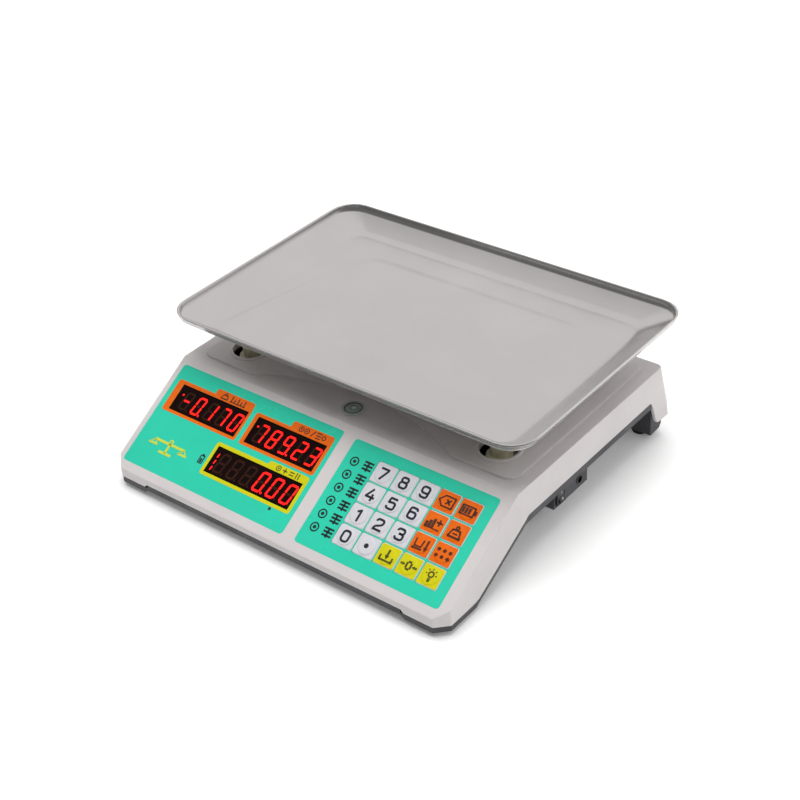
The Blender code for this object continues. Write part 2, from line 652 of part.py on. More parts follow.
def key_field():
    """Left, right, upper and lower edge of the field that holds all keys."""
    half_x = KEY_SIZE[0] / 2 + KEY_FIELD_MARGIN
    half_s = KEY_SIZE[1] / 2 + KEY_FIELD_MARGIN
    last_x = KEY_FIRST_X + (KEY_COLUMNS - 1) * KEY_PITCH_X
    last_s = KEY_FIRST_S + (KEY_ROWS - 1) * KEY_PITCH_S
    return (KEY_FIRST_X - half_x, last_x + half_x, KEY_FIRST_S - half_s, last_s + half_s)


def build_overlays(materials, panel):
    """The two printed labels, one round the displays and one round the keys."""
    bm = bmesh.new()
    add_prism(bm, slope_rect(DISPLAY_LABEL, 0.0, LABEL_CORNER), "Z", -OVERLAY_SHEET, 0.0)
    overlay = add_part("display_overlay", bm, materials["label_film"], parent=panel)
    bm = bmesh.new()
    for window in WINDOWS.values():
        add_prism(bm, slope_rect(window, GAP, 0.0006), "Z", -0.008, 0.003)
    boolean(overlay, add_tool("tool_label_windows", bm, parent=panel))
    bm = bmesh.new()
    add_prism(bm, slope_rect(KEYPAD_LABEL, 0.0, LABEL_CORNER), "Z", -OVERLAY_SHEET, 0.0)
    overlay = add_part("keypad_overlay", bm, materials["label_film"], parent=panel)
    bm = bmesh.new()
    add_prism(bm, slope_rect(key_field(), 0.0, 0.0015), "Z", -0.008, 0.003)
    boolean(overlay, add_tool("tool_key_window", bm, parent=panel))


KEY_NAMES = (
    ("key_7", "key_8", "key_9", "key_clear", "key_voltage"),
    ("key_4", "key_5", "key_6", "key_accumulate", "key_weight"),
    ("key_1", "key_2", "key_3", "key_tare", "key_count"),
    ("key_0", "key_point", "key_store", "key_zero", "key_light"),
)


def key_material(name):
    """White for figures and the point, yellow along the bottom row, orange elsewhere."""
    if name.removeprefix("key_") in "0123456789" or name == "key_point":
        return "white_key"
    return "yellow_key" if name in KEY_NAMES[-1] else "orange_key"


def build_keys(materials, panel):
    """The keys: low crowned caps, each with a plunger that presses its switch."""
    half_x, half_s = KEY_SIZE[0] / 2, KEY_SIZE[1] / 2
    for row, names in enumerate(KEY_NAMES):
        for column, name in enumerate(names):
            sections = [
                (circle(0.0020, segments=12), -0.0023),
                (circle(0.0020, segments=12), -0.0013),
            ]
            cap = [
                (rounded_rect(half_x - 0.0002, half_s - 0.0002, KEY_CORNER, steps=2), -0.0013),
                (rounded_rect(half_x, half_s, KEY_CORNER, steps=2), -0.0010),
                (rounded_rect(half_x, half_s, KEY_CORNER, steps=2), -0.0003),
                (rounded_rect(half_x - 0.0006, half_s - 0.0006, KEY_CORNER, steps=2), KEY_FACE - 0.0001),
                (rounded_rect(half_x - 0.0030, half_s - 0.0030, KEY_CORNER, steps=2), KEY_FACE),
            ]
            bm = bmesh.new()
            add_loft(bm, sections + cap)
            place = (KEY_FIRST_X + column * KEY_PITCH_X, -(KEY_FIRST_S + row * KEY_PITCH_S), 0.0)
            add_part(name, bm, materials[key_material(name)], parent=panel, location=place)


def build_displays(materials, panel):
    """The three display modules and the boards behind the panel."""
    for name, window in WINDOWS.items():
        bm = bmesh.new()
        add_prism(bm, slope_rect(window, 0.0, 0.0004), "Z", -MODULE_DEPTH, -MODULE_DROP)
        add_part(name, bm, materials["display_lens"], parent=panel)
    back = -MODULE_DEPTH - GAP
    bm = bmesh.new()
    add_box(bm, (-0.1540, -0.0840, back - 0.0016), (0.0080, -0.0140, back))
    add_part("display_board", bm, materials["circuit_board"], parent=panel)
    left, right, upper, lower = key_field()
    top = -0.0023 - KEY_TRAVEL - 0.0002
    bm = bmesh.new()
    add_box(bm, (left - 0.002, -lower - 0.002, top - 0.0016), (right + 0.002, -upper + 0.002, top))
    add_part("keypad_board", bm, materials["circuit_board"], parent=panel)


def build_rear_display(materials, rear_face):
    """The customer's label and display on the back."""
    bm = bmesh.new()
    add_prism(bm, centred_rect(REAR_LABEL, 0.0, 0.003), "Z", -OVERLAY_SHEET, 0.0)
    overlay = add_part("rear_overlay", bm, materials["label_film"], parent=rear_face)
    bm = bmesh.new()
    add_prism(bm, centred_rect(REAR_WINDOW, GAP, 0.0006), "Z", -0.004, 0.003)
    boolean(overlay, add_tool("tool_rear_window", bm, parent=rear_face))
    bm = bmesh.new()
    add_prism(bm, centred_rect(REAR_WINDOW, 0.0, 0.0004), "Z", -REAR_MODULE_DEPTH, -MODULE_DROP)
    add_part("rear_display", bm, materials["display_lens"], parent=rear_face)


# ---- inside and underneath ----------------------------------------------------------------------

BATTERY_SIZE = (0.134, 0.060, 0.034)


def battery_centre_y():
    """Middle of the battery, front to back, behind the load cell."""
    return WELL[3] - WALL - 0.0010 - BATTERY_SIZE[1] / 2


def battery_door_size():
    """The battery's cover, a little smaller than the battery's own outline so the well keeps a ledge."""
    return BATTERY_SIZE[0] - 0.010, BATTERY_SIZE[1] - 0.010


def build_inside(materials):
    """Battery, its door, the main board and the bubble level."""
    centre_y = battery_centre_y()
    x, y, z = BATTERY_SIZE
    bm = bmesh.new()
    add_box(bm, (-x / 2, -y / 2, 0.0), (x / 2, y / 2, z))
    battery = add_part("battery", bm, materials["battery_case"],
                       location=(0.0, centre_y, WELL_Z + WALL + GAP))
    bevel(battery, 0.0015)
    door_x, door_y = battery_door_size()
    bm = bmesh.new()
    add_box(bm, (-door_x / 2, -door_y / 2, 0.0), (door_x / 2, door_y / 2, WALL))
    add_part("battery_door", bm, materials["base_plastic"], location=(0.0, centre_y, WELL_Z))
    bm = bmesh.new()
    floor = BASE_FLOOR_Z + WALL
    add_box(bm, (-0.1150, -0.0460, floor + GAP), (-0.0050, 0.0050, floor + GAP + 0.0016))
    add_part("main_board", bm, materials["circuit_board"])

    bm = bmesh.new()
    add_lathe(bm, [(0.0060, -0.0060), (0.0077, -0.0060), (0.0077, GAP), (0.0096, GAP), (0.0096, 0.0008),
                   (0.0091, 0.0012), (0.0075, 0.0012), (0.0060, 0.0004)], 32, closed=True)
    add_part("level_body", bm, materials["level_bezel"], location=(0.0, LEVEL_Y, DECK_Z))
    bm = bmesh.new()
    add_lathe(bm, [(0.0, -0.0055), (0.0057, -0.0055), (0.0057, 0.0002), (0.0044, 0.0008), (0.0024, 0.0011),
                   (0.0, 0.0012)], 24)
    add_part("level_glass", bm, materials["level_vial"], location=(0.0, LEVEL_Y, DECK_Z))


def build_power(materials):
    """Rocker switch and low-voltage inlet in the side of the power box."""
    face = POWER_BOX[1]
    bm = bmesh.new()
    bezel = rounded_rect(0.00525, 0.00750, 0.0012, steps=3)
    body = rounded_rect(0.0046, 0.0066, 0.0004, steps=3)
    sections = [(body, -0.0125), (body, GAP), (bezel, GAP), (bezel, 0.0015),
                (rounded_rect(0.00475, 0.00700, 0.0012, steps=3), 0.0020)]
    add_loft(bm, sections)
    sideways = Matrix(((0, 0, 1), (1, 0, 0), (0, 1, 0))).to_euler()
    place = (face, SWITCH_Y, SWITCH_Z)
    switch = add_part("power_switch_body", bm, materials["switch_plastic"], location=place, rotation=sideways)
    bm = bmesh.new()
    add_box(bm, (-0.0038, -0.0059, -0.0042), (0.0038, 0.0059, 0.0040))
    boolean(switch, add_tool("tool_rocker_recess", bm, location=place, rotation=sideways))

    outline = [(-0.0020, -0.0040), (-0.0020, 0.0040), (0.0010, 0.0054), (0.0030, 0.0052),
               (0.0018, 0.0), (0.0030, -0.0052), (0.0010, -0.0054)]
    bm = bmesh.new()
    add_prism(bm, outline, "Y", -0.0035, 0.0035)
    rocker = add_part("power_rocker", bm, materials["switch_plastic"],
                      location=(face, SWITCH_Y, SWITCH_Z), rotation=(0.0, -ROCKER_SWING, 0.0))
    bevel(rocker, 0.0003)

    bm = bmesh.new()
    add_lathe(bm, [(0.0, -0.0130), (JACK_RADIUS, -0.0130), (JACK_RADIUS, 0.0002), (0.0036, 0.0006),
                   (0.0028, 0.0006), (0.0028, -0.0090), (0.0010, -0.0090), (0.0010, -0.0012),
                   (0.0007, -0.0008), (0.0, -0.0008)], 24)
    add_part("power_jack", bm, materials["switch_plastic"],
             location=(face, JACK_Y, JACK_Z), rotation=sideways)


def build_feet(materials):
    """Levelling feet: a stud in each corner of the base with a rubber-faced pad below."""
    for corner, (x, y) in FOOT_PLACES.items():
        bm = bmesh.new()
        low = BASE_FOOT_Z
        add_lathe(bm, [(0.0, 0.0), (STUD_RADIUS, 0.0), (STUD_RADIUS, STUD_LENGTH - 0.0016),
                       (STUD_RADIUS - 0.0008, STUD_LENGTH - 0.0008), (0.0, STUD_LENGTH - 0.0008)], 20)
        add_part(f"foot_stud_{corner}", bm, materials["screw_steel"], location=(x, y, low))
        bm = bmesh.new()
        top = low - GAP
        add_lathe(bm, [(0.0, 0.0), (PAD_RADIUS - 0.0006, 0.0), (PAD_RADIUS, 0.0006),
                       (PAD_RADIUS, top - 0.0006), (PAD_RADIUS - 0.0006, top), (0.0, top)], 24)
        add_part(f"foot_pad_{corner}", bm, materials["foot_rubber"], location=(x, y, 0.0))


# ---- assembly -----------------------------------------------------------------------------------

def build_scale():
    """Clear the scene and build every piece."""
    for obj in list(bpy.data.objects):
        bpy.data.objects.remove(obj, do_unlink=True)
    materials = {name: make_material(name) for name in MATERIALS}
    panel = add_frame("panel_frame", (0.0, FOLD_Y, DECK_Z), (PANEL_TILT, 0.0, 0.0))
    lean = math.atan2(REAR_EDGE_Y - REAR_TOP_Y, DECK_Z - REAR_EDGE_Z)
    facing = Matrix(((-1, 0, 0), (0, -math.sin(lean), math.cos(lean)), (0, math.cos(lean), math.sin(lean))))
    middle = (0.0, (REAR_TOP_Y + REAR_EDGE_Y) / 2 - REAR_RAISE * math.sin(lean),
              (DECK_Z + REAR_EDGE_Z) / 2 + REAR_RAISE * math.cos(lean))
    rear_face = add_frame("rear_frame", middle, facing.to_euler())
    build_top_housing(materials, panel, rear_face)
    build_base_housing(materials)
    build_pan(materials)
    build_posts(materials)
    build_spider(materials)
    build_load_cell(materials)
    build_overlays(materials, panel)
    build_keys(materials, panel)
    build_displays(materials, panel)
    build_rear_display(materials, rear_face)
    build_inside(materials)
    build_power(materials)
    build_feet(materials)


build_scale()
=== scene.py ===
import json
import math

import bpy
from mathutils import Matrix, Vector


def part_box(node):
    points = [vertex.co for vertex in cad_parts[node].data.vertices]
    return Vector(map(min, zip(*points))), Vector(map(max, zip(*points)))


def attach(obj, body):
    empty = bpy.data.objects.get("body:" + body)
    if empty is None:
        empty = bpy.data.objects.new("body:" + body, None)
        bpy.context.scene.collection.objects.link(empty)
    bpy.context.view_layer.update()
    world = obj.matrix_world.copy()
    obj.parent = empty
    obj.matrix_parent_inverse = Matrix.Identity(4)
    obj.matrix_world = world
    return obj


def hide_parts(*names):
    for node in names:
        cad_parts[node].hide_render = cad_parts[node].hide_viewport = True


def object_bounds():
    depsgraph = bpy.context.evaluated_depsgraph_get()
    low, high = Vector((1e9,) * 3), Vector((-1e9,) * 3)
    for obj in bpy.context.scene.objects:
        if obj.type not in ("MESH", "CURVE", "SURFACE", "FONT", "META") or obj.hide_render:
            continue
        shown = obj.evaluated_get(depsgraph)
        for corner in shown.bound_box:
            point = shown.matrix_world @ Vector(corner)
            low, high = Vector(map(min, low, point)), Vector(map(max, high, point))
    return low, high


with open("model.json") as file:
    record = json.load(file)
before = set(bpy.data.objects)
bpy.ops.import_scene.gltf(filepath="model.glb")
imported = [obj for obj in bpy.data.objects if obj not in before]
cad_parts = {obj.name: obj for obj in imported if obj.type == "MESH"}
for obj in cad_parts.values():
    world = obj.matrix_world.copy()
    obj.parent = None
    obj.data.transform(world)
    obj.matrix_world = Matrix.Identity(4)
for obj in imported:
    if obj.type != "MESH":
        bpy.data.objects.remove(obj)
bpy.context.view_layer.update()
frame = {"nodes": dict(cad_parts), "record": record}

MM = 0.001
FILM_LIFT = 0.00002              # ink above the film it is printed on
INK = 0.00005                    # thickness of a printed layer

# ---- working frames ---------------------------------------------------------------------------


def reach(node, direction):
    """Lowest and highest place of a node along a direction."""
    places = [vertex.co.dot(direction) for vertex in frame["nodes"][node].data.vertices]
    return min(places), max(places)


def face_frame(node, towards):
    """A working frame on the middle of a node's broad face: x to the right, y up, z outwards."""
    faces = [f for f in frame["nodes"][node].data.polygons if f.normal.dot(Vector(towards)) > 0.6]
    out = max(faces, key=lambda f: f.area).normal.normalized()
    up = (Vector((0, 0, 1)) - out * out.z).normalized()
    right = up.cross(out)
    middle = Vector()
    for direction in (right, up):
        low, high = reach(node, direction)
        middle += direction * (low + high) / 2
    middle += out * reach(node, out)[1]
    turn = Matrix((right, up, out)).transposed().to_4x4()
    return Matrix.Translation(middle) @ turn


def fold_frame():
    """The sloping panel: x from the middle of the scale, y up the slope from the fold to the deck."""
    label = face_frame("display_overlay", (0, -0.5, 0.86))
    low, high = reach("display_overlay", label.to_3x3().col[1])
    fold_above_label = 0.0064
    place = label.translation.copy()
    place.x = 0.0
    place += label.to_3x3().col[1] * ((high - low) / 2 + fold_above_label)
    return Matrix.Translation(place) @ label.to_3x3().to_4x4()


def height_on(node, place):
    """How far a node stands out in front of a working frame."""
    out = place.to_3x3().col[2]
    return reach(node, out)[1] - place.translation.dot(out)


PANEL = fold_frame()
BACK = face_frame("rear_overlay", (0, 0.96, 0.28))
DOWN_TURN = Matrix.Rotation(math.pi / 2, 4, "Z")


def on_panel(x, down, height=FILM_LIFT):
    """Frame on the panel at x, a distance down the slope, in metres."""
    return PANEL @ Matrix.Translation((x, -down, height))


# ---- modelling --------------------------------------------------------------------------------


def active():
    return bpy.context.view_layer.objects.active


def deselect():
    bpy.ops.object.select_all(action="DESELECT")


def edit_mode():
    bpy.ops.object.mode_set(mode="EDIT")


def object_mode():
    bpy.ops.object.mode_set(mode="OBJECT")


def take_all():
    bpy.ops.mesh.select_all(action="SELECT")


def choose(obj):
    """Only this object is selected and active."""
    deselect()
    obj.select_set(True)
    bpy.context.view_layer.objects.active = obj
    return obj


def apply_place(obj):
    choose(obj)
    bpy.ops.object.transform_apply(location=True, rotation=True, scale=True)
    return obj


def edit_all(obj, work):
    """Run edit-mode work on all of a mesh, and leave its faces pointing outwards."""
    choose(obj)
    edit_mode()
    take_all()
    work()
    take_all()
    bpy.ops.mesh.normals_make_consistent(inside=False)
    object_mode()
    return obj


def pick(obj, chosen):
    """Open a mesh with only the vertices selected for which chosen(place) holds."""
    choose(obj)
    edit_mode()
    bpy.ops.mesh.select_mode(type="VERT")
    bpy.ops.mesh.select_all(action="DESELECT")
    object_mode()
    for vertex in obj.data.vertices:
        vertex.select = chosen(vertex.co)
    edit_mode()


def grab(obj, chosen, shift):
    """Move the vertices for which chosen(place) holds."""
    pick(obj, chosen)
    bpy.ops.transform.translate(value=shift)
    object_mode()


def thicken(obj, thickness):
    """Pull a flat shape up into a thin closed plate."""
    def pull():
        bpy.ops.mesh.extrude_region_move(TRANSFORM_OT_translate={"value": (0, 0, thickness)})
    return edit_all(obj, pull)


def flat_plate(width, height, corner, x=0.0, y=0.0, turn=0.0):
    """A flat rectangle with round corners."""
    deselect()
    bpy.ops.mesh.primitive_plane_add(size=1.0)
    obj = active()
    obj.scale = (width, height, 1.0)
    apply_place(obj)
    if corner > 0:
        edit_all(obj, lambda: bpy.ops.mesh.bevel(offset=corner, segments=5, affect="VERTICES"))
    obj.rotation_euler = (0, 0, turn)
    obj.location = (x, y, 0)
    return apply_place(obj)


def flat_disc(radius, x=0.0, y=0.0, sides=24, turn=0.0):
    """A flat disc, or a regular shape with few sides."""
    deselect()
    bpy.ops.mesh.primitive_circle_add(vertices=sides, radius=radius, fill_type="NGON",
                                      location=(x, y, 0), rotation=(0, 0, turn))
    return apply_place(active())


def flat_hoop(radius, line, x=0.0, y=0.0):
    """A flat ring drawn with a line of that width."""
    obj = flat_disc(radius, x, y)

    def open_middle():
        bpy.ops.mesh.inset(thickness=line, depth=0)
        bpy.ops.mesh.delete(type="FACE")
    return edit_all(obj, open_middle)


def joined(pieces, name):
    """Several meshes made one piece."""
    deselect()
    for piece in pieces:
        piece.select_set(True)
    bpy.context.view_layer.objects.active = pieces[0]
    if len(pieces) > 1:
        bpy.ops.object.join()
    pieces[0].name = name
    return pieces[0]


def discard(*tools):
    for tool in tools:
        bpy.data.objects.remove(tool, do_unlink=True)


def combine(obj, tool, operation):
    """Cut a piece with a tool or fuse the tool to it. The tool is used up."""
    modifier = obj.modifiers.new("work", "BOOLEAN")
    modifier.operation = operation
    modifier.solver = "EXACT"
    modifier.object = tool
    choose(obj)
    bpy.ops.object.modifier_apply(modifier=modifier.name)
    discard(tool)
    return obj


def put(obj, place):
    """Set a piece made on the working plane onto its face of the scale."""
    obj.matrix_world = place @ obj.matrix_world
    return apply_place(obj)


def copy_to(obj, name, place):
    """A copy with its own mesh, put in place."""
    twin = obj.copy()
    twin.data = obj.data.copy()
    twin.name = name
    bpy.context.scene.collection.objects.link(twin)
    twin.matrix_world = place
    return twin


def add_piece(obj, name, finish, body):
    """Name a finished piece, give it its finish and let it ride on its body."""
    obj.name = name
    obj.data.name = name
    obj.data.materials.clear()
    obj.data.materials.append(finish)
    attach(obj, body)
    return obj


# ---- shared effects ---------------------------------------------------------------------------


def new_group(name, inputs, outputs):
    """An empty effect with named inputs (name, kind, value) and outputs (name, kind)."""
    tree = bpy.data.node_groups.new(name, "ShaderNodeTree")
    for label, kind, value in inputs:
        socket = tree.interface.new_socket(label, in_out="INPUT", socket_type="NodeSocket" + kind)
        socket.default_value = value
    for label, kind in outputs:
        tree.interface.new_socket(label, in_out="OUTPUT", socket_type="NodeSocket" + kind)
    return tree, tree.nodes.new("NodeGroupInput"), tree.nodes.new("NodeGroupOutput")


def add_node(tree, kind, **settings):
    """A node with its settings, in small letters, and the values of its sockets, with a capital."""
    node = tree.nodes.new("ShaderNode" + kind)
    for key, value in settings.items():
        if key[0].isupper():
            node.inputs[key].default_value = value
        else:
            setattr(node, key, value)
    return node


def wire(tree, source, output, target, socket):
    tree.links.new(source.outputs[output], target.inputs[socket])


def spread(tree, source, low, high, to_low=0.0, to_high=1.0):
    """Stretch a value's useful part over a new span."""
    node = add_node(tree, "MapRange")
    tree.links.new(source, node.inputs["Value"])
    for label, value in (("From Min", low), ("From Max", high), ("To Min", to_low), ("To Max", to_high)):
        node.inputs[label].default_value = value
    return node


def make_uneven_group():
    """Soft patches that mix two colours and lift or lower a roughness."""
    tree, given, out = new_group("uneven_finish", [
        ("Light", "Color", (1, 1, 1, 1)), ("Dark", "Color", (0.8, 0.8, 0.8, 1)),
        ("Scale", "Float", 30.0), ("Smooth", "Float", 0.3),
        ("Dull", "Float", 0.5)],
        [("Colour", "Color"), ("Roughness", "Float"), ("Mask", "Float")])
    place = add_node(tree, "TexCoord")
    broad = add_node(tree, "TexNoise", Detail=5.0, Roughness=0.62)
    wire(tree, place, "Object", broad, "Vector")
    wire(tree, given, "Scale", broad, "Scale")
    mask = spread(tree, broad.outputs["Fac"], 0.32, 0.68)
    blend = add_node(tree, "Mix", data_type="RGBA")
    wire(tree, mask, "Result", blend, "Factor")
    wire(tree, given, "Dark", blend, "A")
    wire(tree, given, "Light", blend, "B")
    rough = add_node(tree, "Mix", data_type="FLOAT")
    wire(tree, mask, "Result", rough, "Factor")
    wire(tree, given, "Dull", rough, "A")
    wire(tree, given, "Smooth", rough, "B")
    wire(tree, blend, "Result", out, "Colour")
    wire(tree, rough, "Result", out, "Roughness")
    wire(tree, mask, "Result", out, "Mask")
    return tree


def make_grain_group():
    """Fine pits of a moulded or cast face, as a height."""
    tree, given, out = new_group("moulded_grain", [
        ("Scale", "Float", 1800.0), ("Pits", "Float", 0.4)],
        [("Height", "Float")])
    place = add_node(tree, "TexCoord")
    pebbles = add_node(tree, "TexVoronoi")
    haze = add_node(tree, "TexNoise", Detail=4.0)
    for texture in (pebbles, haze):
        wire(tree, place, "Object", texture, "Vector")
        wire(tree, given, "Scale", texture, "Scale")
    mix = add_node(tree, "Mix", data_type="FLOAT")
    wire(tree, given, "Pits", mix, "Factor")
    wire(tree, haze, "Fac", mix, "A")
    wire(tree, pebbles, "Distance", mix, "B")
    wire(tree, mix, "Result", out, "Height")
    return tree


def make_lines_group():
    """Fine parallel lines of rolled, ground or wiped sheet, as a height and a mask."""
    tree, given, out = new_group("rolled_lines", [
        ("Stretch", "Vector", (6.0, 900.0, 900.0)), ("Sharp", "Float", 0.6)],
        [("Height", "Float"), ("Mask", "Float")])
    place = add_node(tree, "TexCoord")
    pull = add_node(tree, "Mapping")
    lines = add_node(tree, "TexNoise", Scale=1.0, Detail=3.0)
    wire(tree, place, "Object", pull, "Vector")
    wire(tree, given, "Stretch", pull, "Scale")
    wire(tree, pull, "Vector", lines, "Vector")
    wire(tree, given, "Sharp", lines, "Roughness")
    mask = spread(tree, lines.outputs["Fac"], 0.35, 0.65)
    wire(tree, lines, "Fac", out, "Height")
    wire(tree, mask, "Result", out, "Mask")
    return tree


def make_scratch_group():
    """Sparse hairline scratches from use, as a mask."""
    tree, given, out = new_group("hairline_scratches", [
        ("Scale", "Float", 9.0), ("Turn", "Vector", (0.0, 0.0, 0.5)),
        ("Rarity", "Float", 0.985)],
        [("Mask", "Float")])
    place = add_node(tree, "TexCoord")
    turn = add_node(tree, "Mapping", Scale=(1.0, 22.0, 22.0))
    web = add_node(tree, "TexVoronoi", feature="DISTANCE_TO_EDGE")
    wire(tree, place, "Object", turn, "Vector")
    wire(tree, given, "Turn", turn, "Rotation")
    wire(tree, turn, "Vector", web, "Vector")
    wire(tree, given, "Scale", web, "Scale")
    thin = add_node(tree, "Math", operation="SUBTRACT")
    thin.inputs[0].default_value = 1.0
    wire(tree, web, "Distance", thin, 1)
    line = add_node(tree, "Math", operation="GREATER_THAN")
    wire(tree, thin, "Value", line, 0)
    wire(tree, given, "Rarity", line, 1)
    patch = add_node(tree, "TexNoise", Scale=21.0)
    wire(tree, place, "Object", patch, "Vector")
    some = spread(tree, patch.outputs["Fac"], 0.52, 0.60)
    both = add_node(tree, "Math", operation="MULTIPLY")
    wire(tree, line, "Value", both, 0)
    wire(tree, some, "Result", both, 1)
    wire(tree, both, "Value", out, "Mask")
    return tree


def make_dust_group():
    """Specks and dust that settle on faces that look up, as a mask."""
    tree, given, out = new_group("settled_dust", [
        ("Scale", "Float", 700.0), ("Cover", "Float", 0.3)],
        [("Mask", "Float")])
    place = add_node(tree, "TexCoord")
    specks = add_node(tree, "TexNoise", Detail=6.0)
    wire(tree, place, "Object", specks, "Vector")
    wire(tree, given, "Scale", specks, "Scale")
    few = spread(tree, specks.outputs["Fac"], 0.58, 0.72)
    facing = add_node(tree, "NewGeometry")
    split = add_node(tree, "SeparateXYZ")
    wire(tree, facing, "Normal", split, "Vector")
    upward = spread(tree, split.outputs["Z"], 0.2, 0.9)
    first = add_node(tree, "Math", operation="MULTIPLY")
    wire(tree, few, "Result", first, 0)
    wire(tree, upward, "Result", first, 1)
    second = add_node(tree, "Math", operation="MULTIPLY")
    wire(tree, first, "Value", second, 0)
    wire(tree, given, "Cover", second, 1)
    wire(tree, second, "Value", out, "Mask")
    return tree


UNEVEN = make_uneven_group()
GRAIN = make_grain_group()
LINES = make_lines_group()
SCRATCHES = make_scratch_group()
DUST = make_dust_group()


def effect(tree, group, **values):
    """Place a shared effect in a material with its own values."""
    node = tree.nodes.new("ShaderNodeGroup")
    node.node_tree = group
    for label, value in values.items():
        node.inputs[label].default_value = value
    return node


def shade(colour, by):
    return tuple(min(1.0, c * by) for c in colour) + (1.0,)


def make_finish(name, colour, smooth, dull, contrast=0.06, patches=28.0, metallic=0.0, grain=None,
                lines=None, scratch=0.0, dust=0.0, coat=0.0, coat_rough=0.1, specular=0.5, glow=0.0,
                wave=None):
    """A finish made of the shared effects.

    grain is (scale, pits, depth), lines is (stretch, depth), wave is (scale, depth) of the sheet's
    slow swells; scratch and dust are how strongly they show; glow is the strength of a light that
    the surface gives itself.
    """
    material = bpy.data.materials.new(name)
    material.use_nodes = True
    tree = material.node_tree
    shader = tree.nodes["Principled BSDF"]
    shader.inputs["Metallic"].default_value = metallic
    shader.inputs["Specular IOR Level"].default_value = specular
    shader.inputs["Coat Weight"].default_value = coat
    shader.inputs["Coat Roughness"].default_value = coat_rough
    base = effect(tree, UNEVEN, Light=shade(colour, 1.0 + contrast / 2),
                  Dark=shade(colour, 1.0 - contrast), Scale=patches, Smooth=smooth, Dull=dull)
    colour_out, rough_out = base.outputs["Colour"], base.outputs["Roughness"]
    heights = []
    if wave:
        swell = effect(tree, GRAIN, Scale=wave[0], Pits=0.0)
        heights.append((swell.outputs["Height"], wave[1]))
    if lines:
        stretch, depth = lines
        rolled = effect(tree, LINES, Stretch=stretch)
        heights.append((rolled.outputs["Height"], depth))
        rough_out = mixed(tree, "FLOAT", rolled.outputs["Mask"], rough_out, smooth * 0.8, 0.35)
    if scratch:
        marks = effect(tree, SCRATCHES)
        colour_out = mixed(tree, "RGBA", marks.outputs["Mask"], colour_out, shade(colour, 1.25), scratch)
        rough_out = mixed(tree, "FLOAT", marks.outputs["Mask"], rough_out, dull * 1.3, scratch)
    if dust:
        specks = effect(tree, DUST, Cover=dust)
        colour_out = mixed(tree, "RGBA", specks.outputs["Mask"], colour_out, (0.62, 0.60, 0.57, 1), 1.0)
        rough_out = mixed(tree, "FLOAT", specks.outputs["Mask"], rough_out, 0.8, 1.0)
    if grain:
        scale, pits, depth = grain
        pebbles = effect(tree, GRAIN, Scale=scale, Pits=pits)
        heights.append((pebbles.outputs["Height"], depth))
    tree.links.new(colour_out, shader.inputs["Base Color"])
    tree.links.new(rough_out, shader.inputs["Roughness"])
    normal = None
    for height, depth in heights:
        bump = add_node(tree, "Bump", Strength=0.6, Distance=depth)
        tree.links.new(height, bump.inputs["Height"])
        if normal is not None:
            tree.links.new(normal, bump.inputs["Normal"])
        normal = bump.outputs["Normal"]
    if normal is not None:
        tree.links.new(normal, shader.inputs["Normal"])
    if glow:
        tree.links.new(colour_out, shader.inputs["Emission Color"])
        shader.inputs["Emission Strength"].default_value = glow
    return material


def mixed(tree, kind, mask, source, value, amount):
    """source, moved towards a value where the mask is set, by at most that amount."""
    gain = add_node(tree, "Math", operation="MULTIPLY")
    tree.links.new(mask, gain.inputs[0])
    gain.inputs[1].default_value = amount
    blend = add_node(tree, "Mix", data_type=kind)
    wire(tree, gain, "Value", blend, "Factor")
    ends = [s for s in blend.inputs if s.name in ("A", "B") and s.enabled]
    tree.links.new(source, ends[0])
    ends[1].default_value = value
    return [s for s in blend.outputs if s.enabled][0]


# ---- finishes ---------------------------------------------------------------------------------

FILM_GRAIN = (900.0, 0.2, 0.000002)
GLASS_GRAIN = (900.0, 0.1, 0.000005)
WINDOW_GRAIN = (2600.0, 0.3, 0.000006)
INK_GRAIN = (3000.0, 0.3, 0.000005)
FINISHES = {}


def keep_finish(name, *look, **extras):
    """Make a finish and keep it under its name."""
    FINISHES[name] = make_finish(name, *look, **extras)


keep_finish("white_moulding", (0.66, 0.625, 0.620), 0.34, 0.46, 0.035,
            grain=(1500.0, 0.5, 0.00003), dust=0.10)
keep_finish("grey_moulding", (0.056, 0.056, 0.063), 0.48, 0.62, 0.20,
            grain=(1100.0, 0.8, 0.00010), dust=0.12)
keep_finish("pan_sheet", (0.73, 0.715, 0.71), 0.17, 0.24, 0.03, 14.0, metallic=1.0,
            lines=((5.0, 1400.0, 1400.0), 0.0000015), scratch=0.03, wave=(16.0, 0.0010))
keep_finish("cream_moulding", (0.62, 0.58, 0.42), 0.30, 0.42, 0.08, grain=(1700.0, 0.4, 0.00003))
keep_finish("zinc_plate", (0.50, 0.51, 0.52), 0.30, 0.50, 0.20, 60.0, metallic=1.0,
            grain=(700.0, 0.7, 0.00004))
keep_finish("milled_bar", (0.76, 0.77, 0.79), 0.25, 0.36, 0.06, metallic=1.0,
            lines=((8.0, 1200.0, 1200.0), 0.00001))
keep_finish("zinc_screw", (0.40, 0.40, 0.42), 0.25, 0.42, 0.18, 220.0, metallic=1.0,
            grain=(2500.0, 0.5, 0.00002))
keep_finish("teal_film", (0.026, 0.625, 0.425), 0.26, 0.36, 0.05, 24.0, grain=(900.0, 0.2, 0.000004),
            specular=0.28)
keep_finish("white_film", (0.66, 0.66, 0.70), 0.20, 0.30, 0.03, 60.0, grain=FILM_GRAIN, coat=0.3)
for name, colour in (("orange_film", (0.82, 0.140, 0.002)), ("yellow_film", (0.66, 0.62, 0.004))):
    keep_finish(name, colour, 0.22, 0.32, 0.04, 60.0, grain=FILM_GRAIN, specular=0.25)
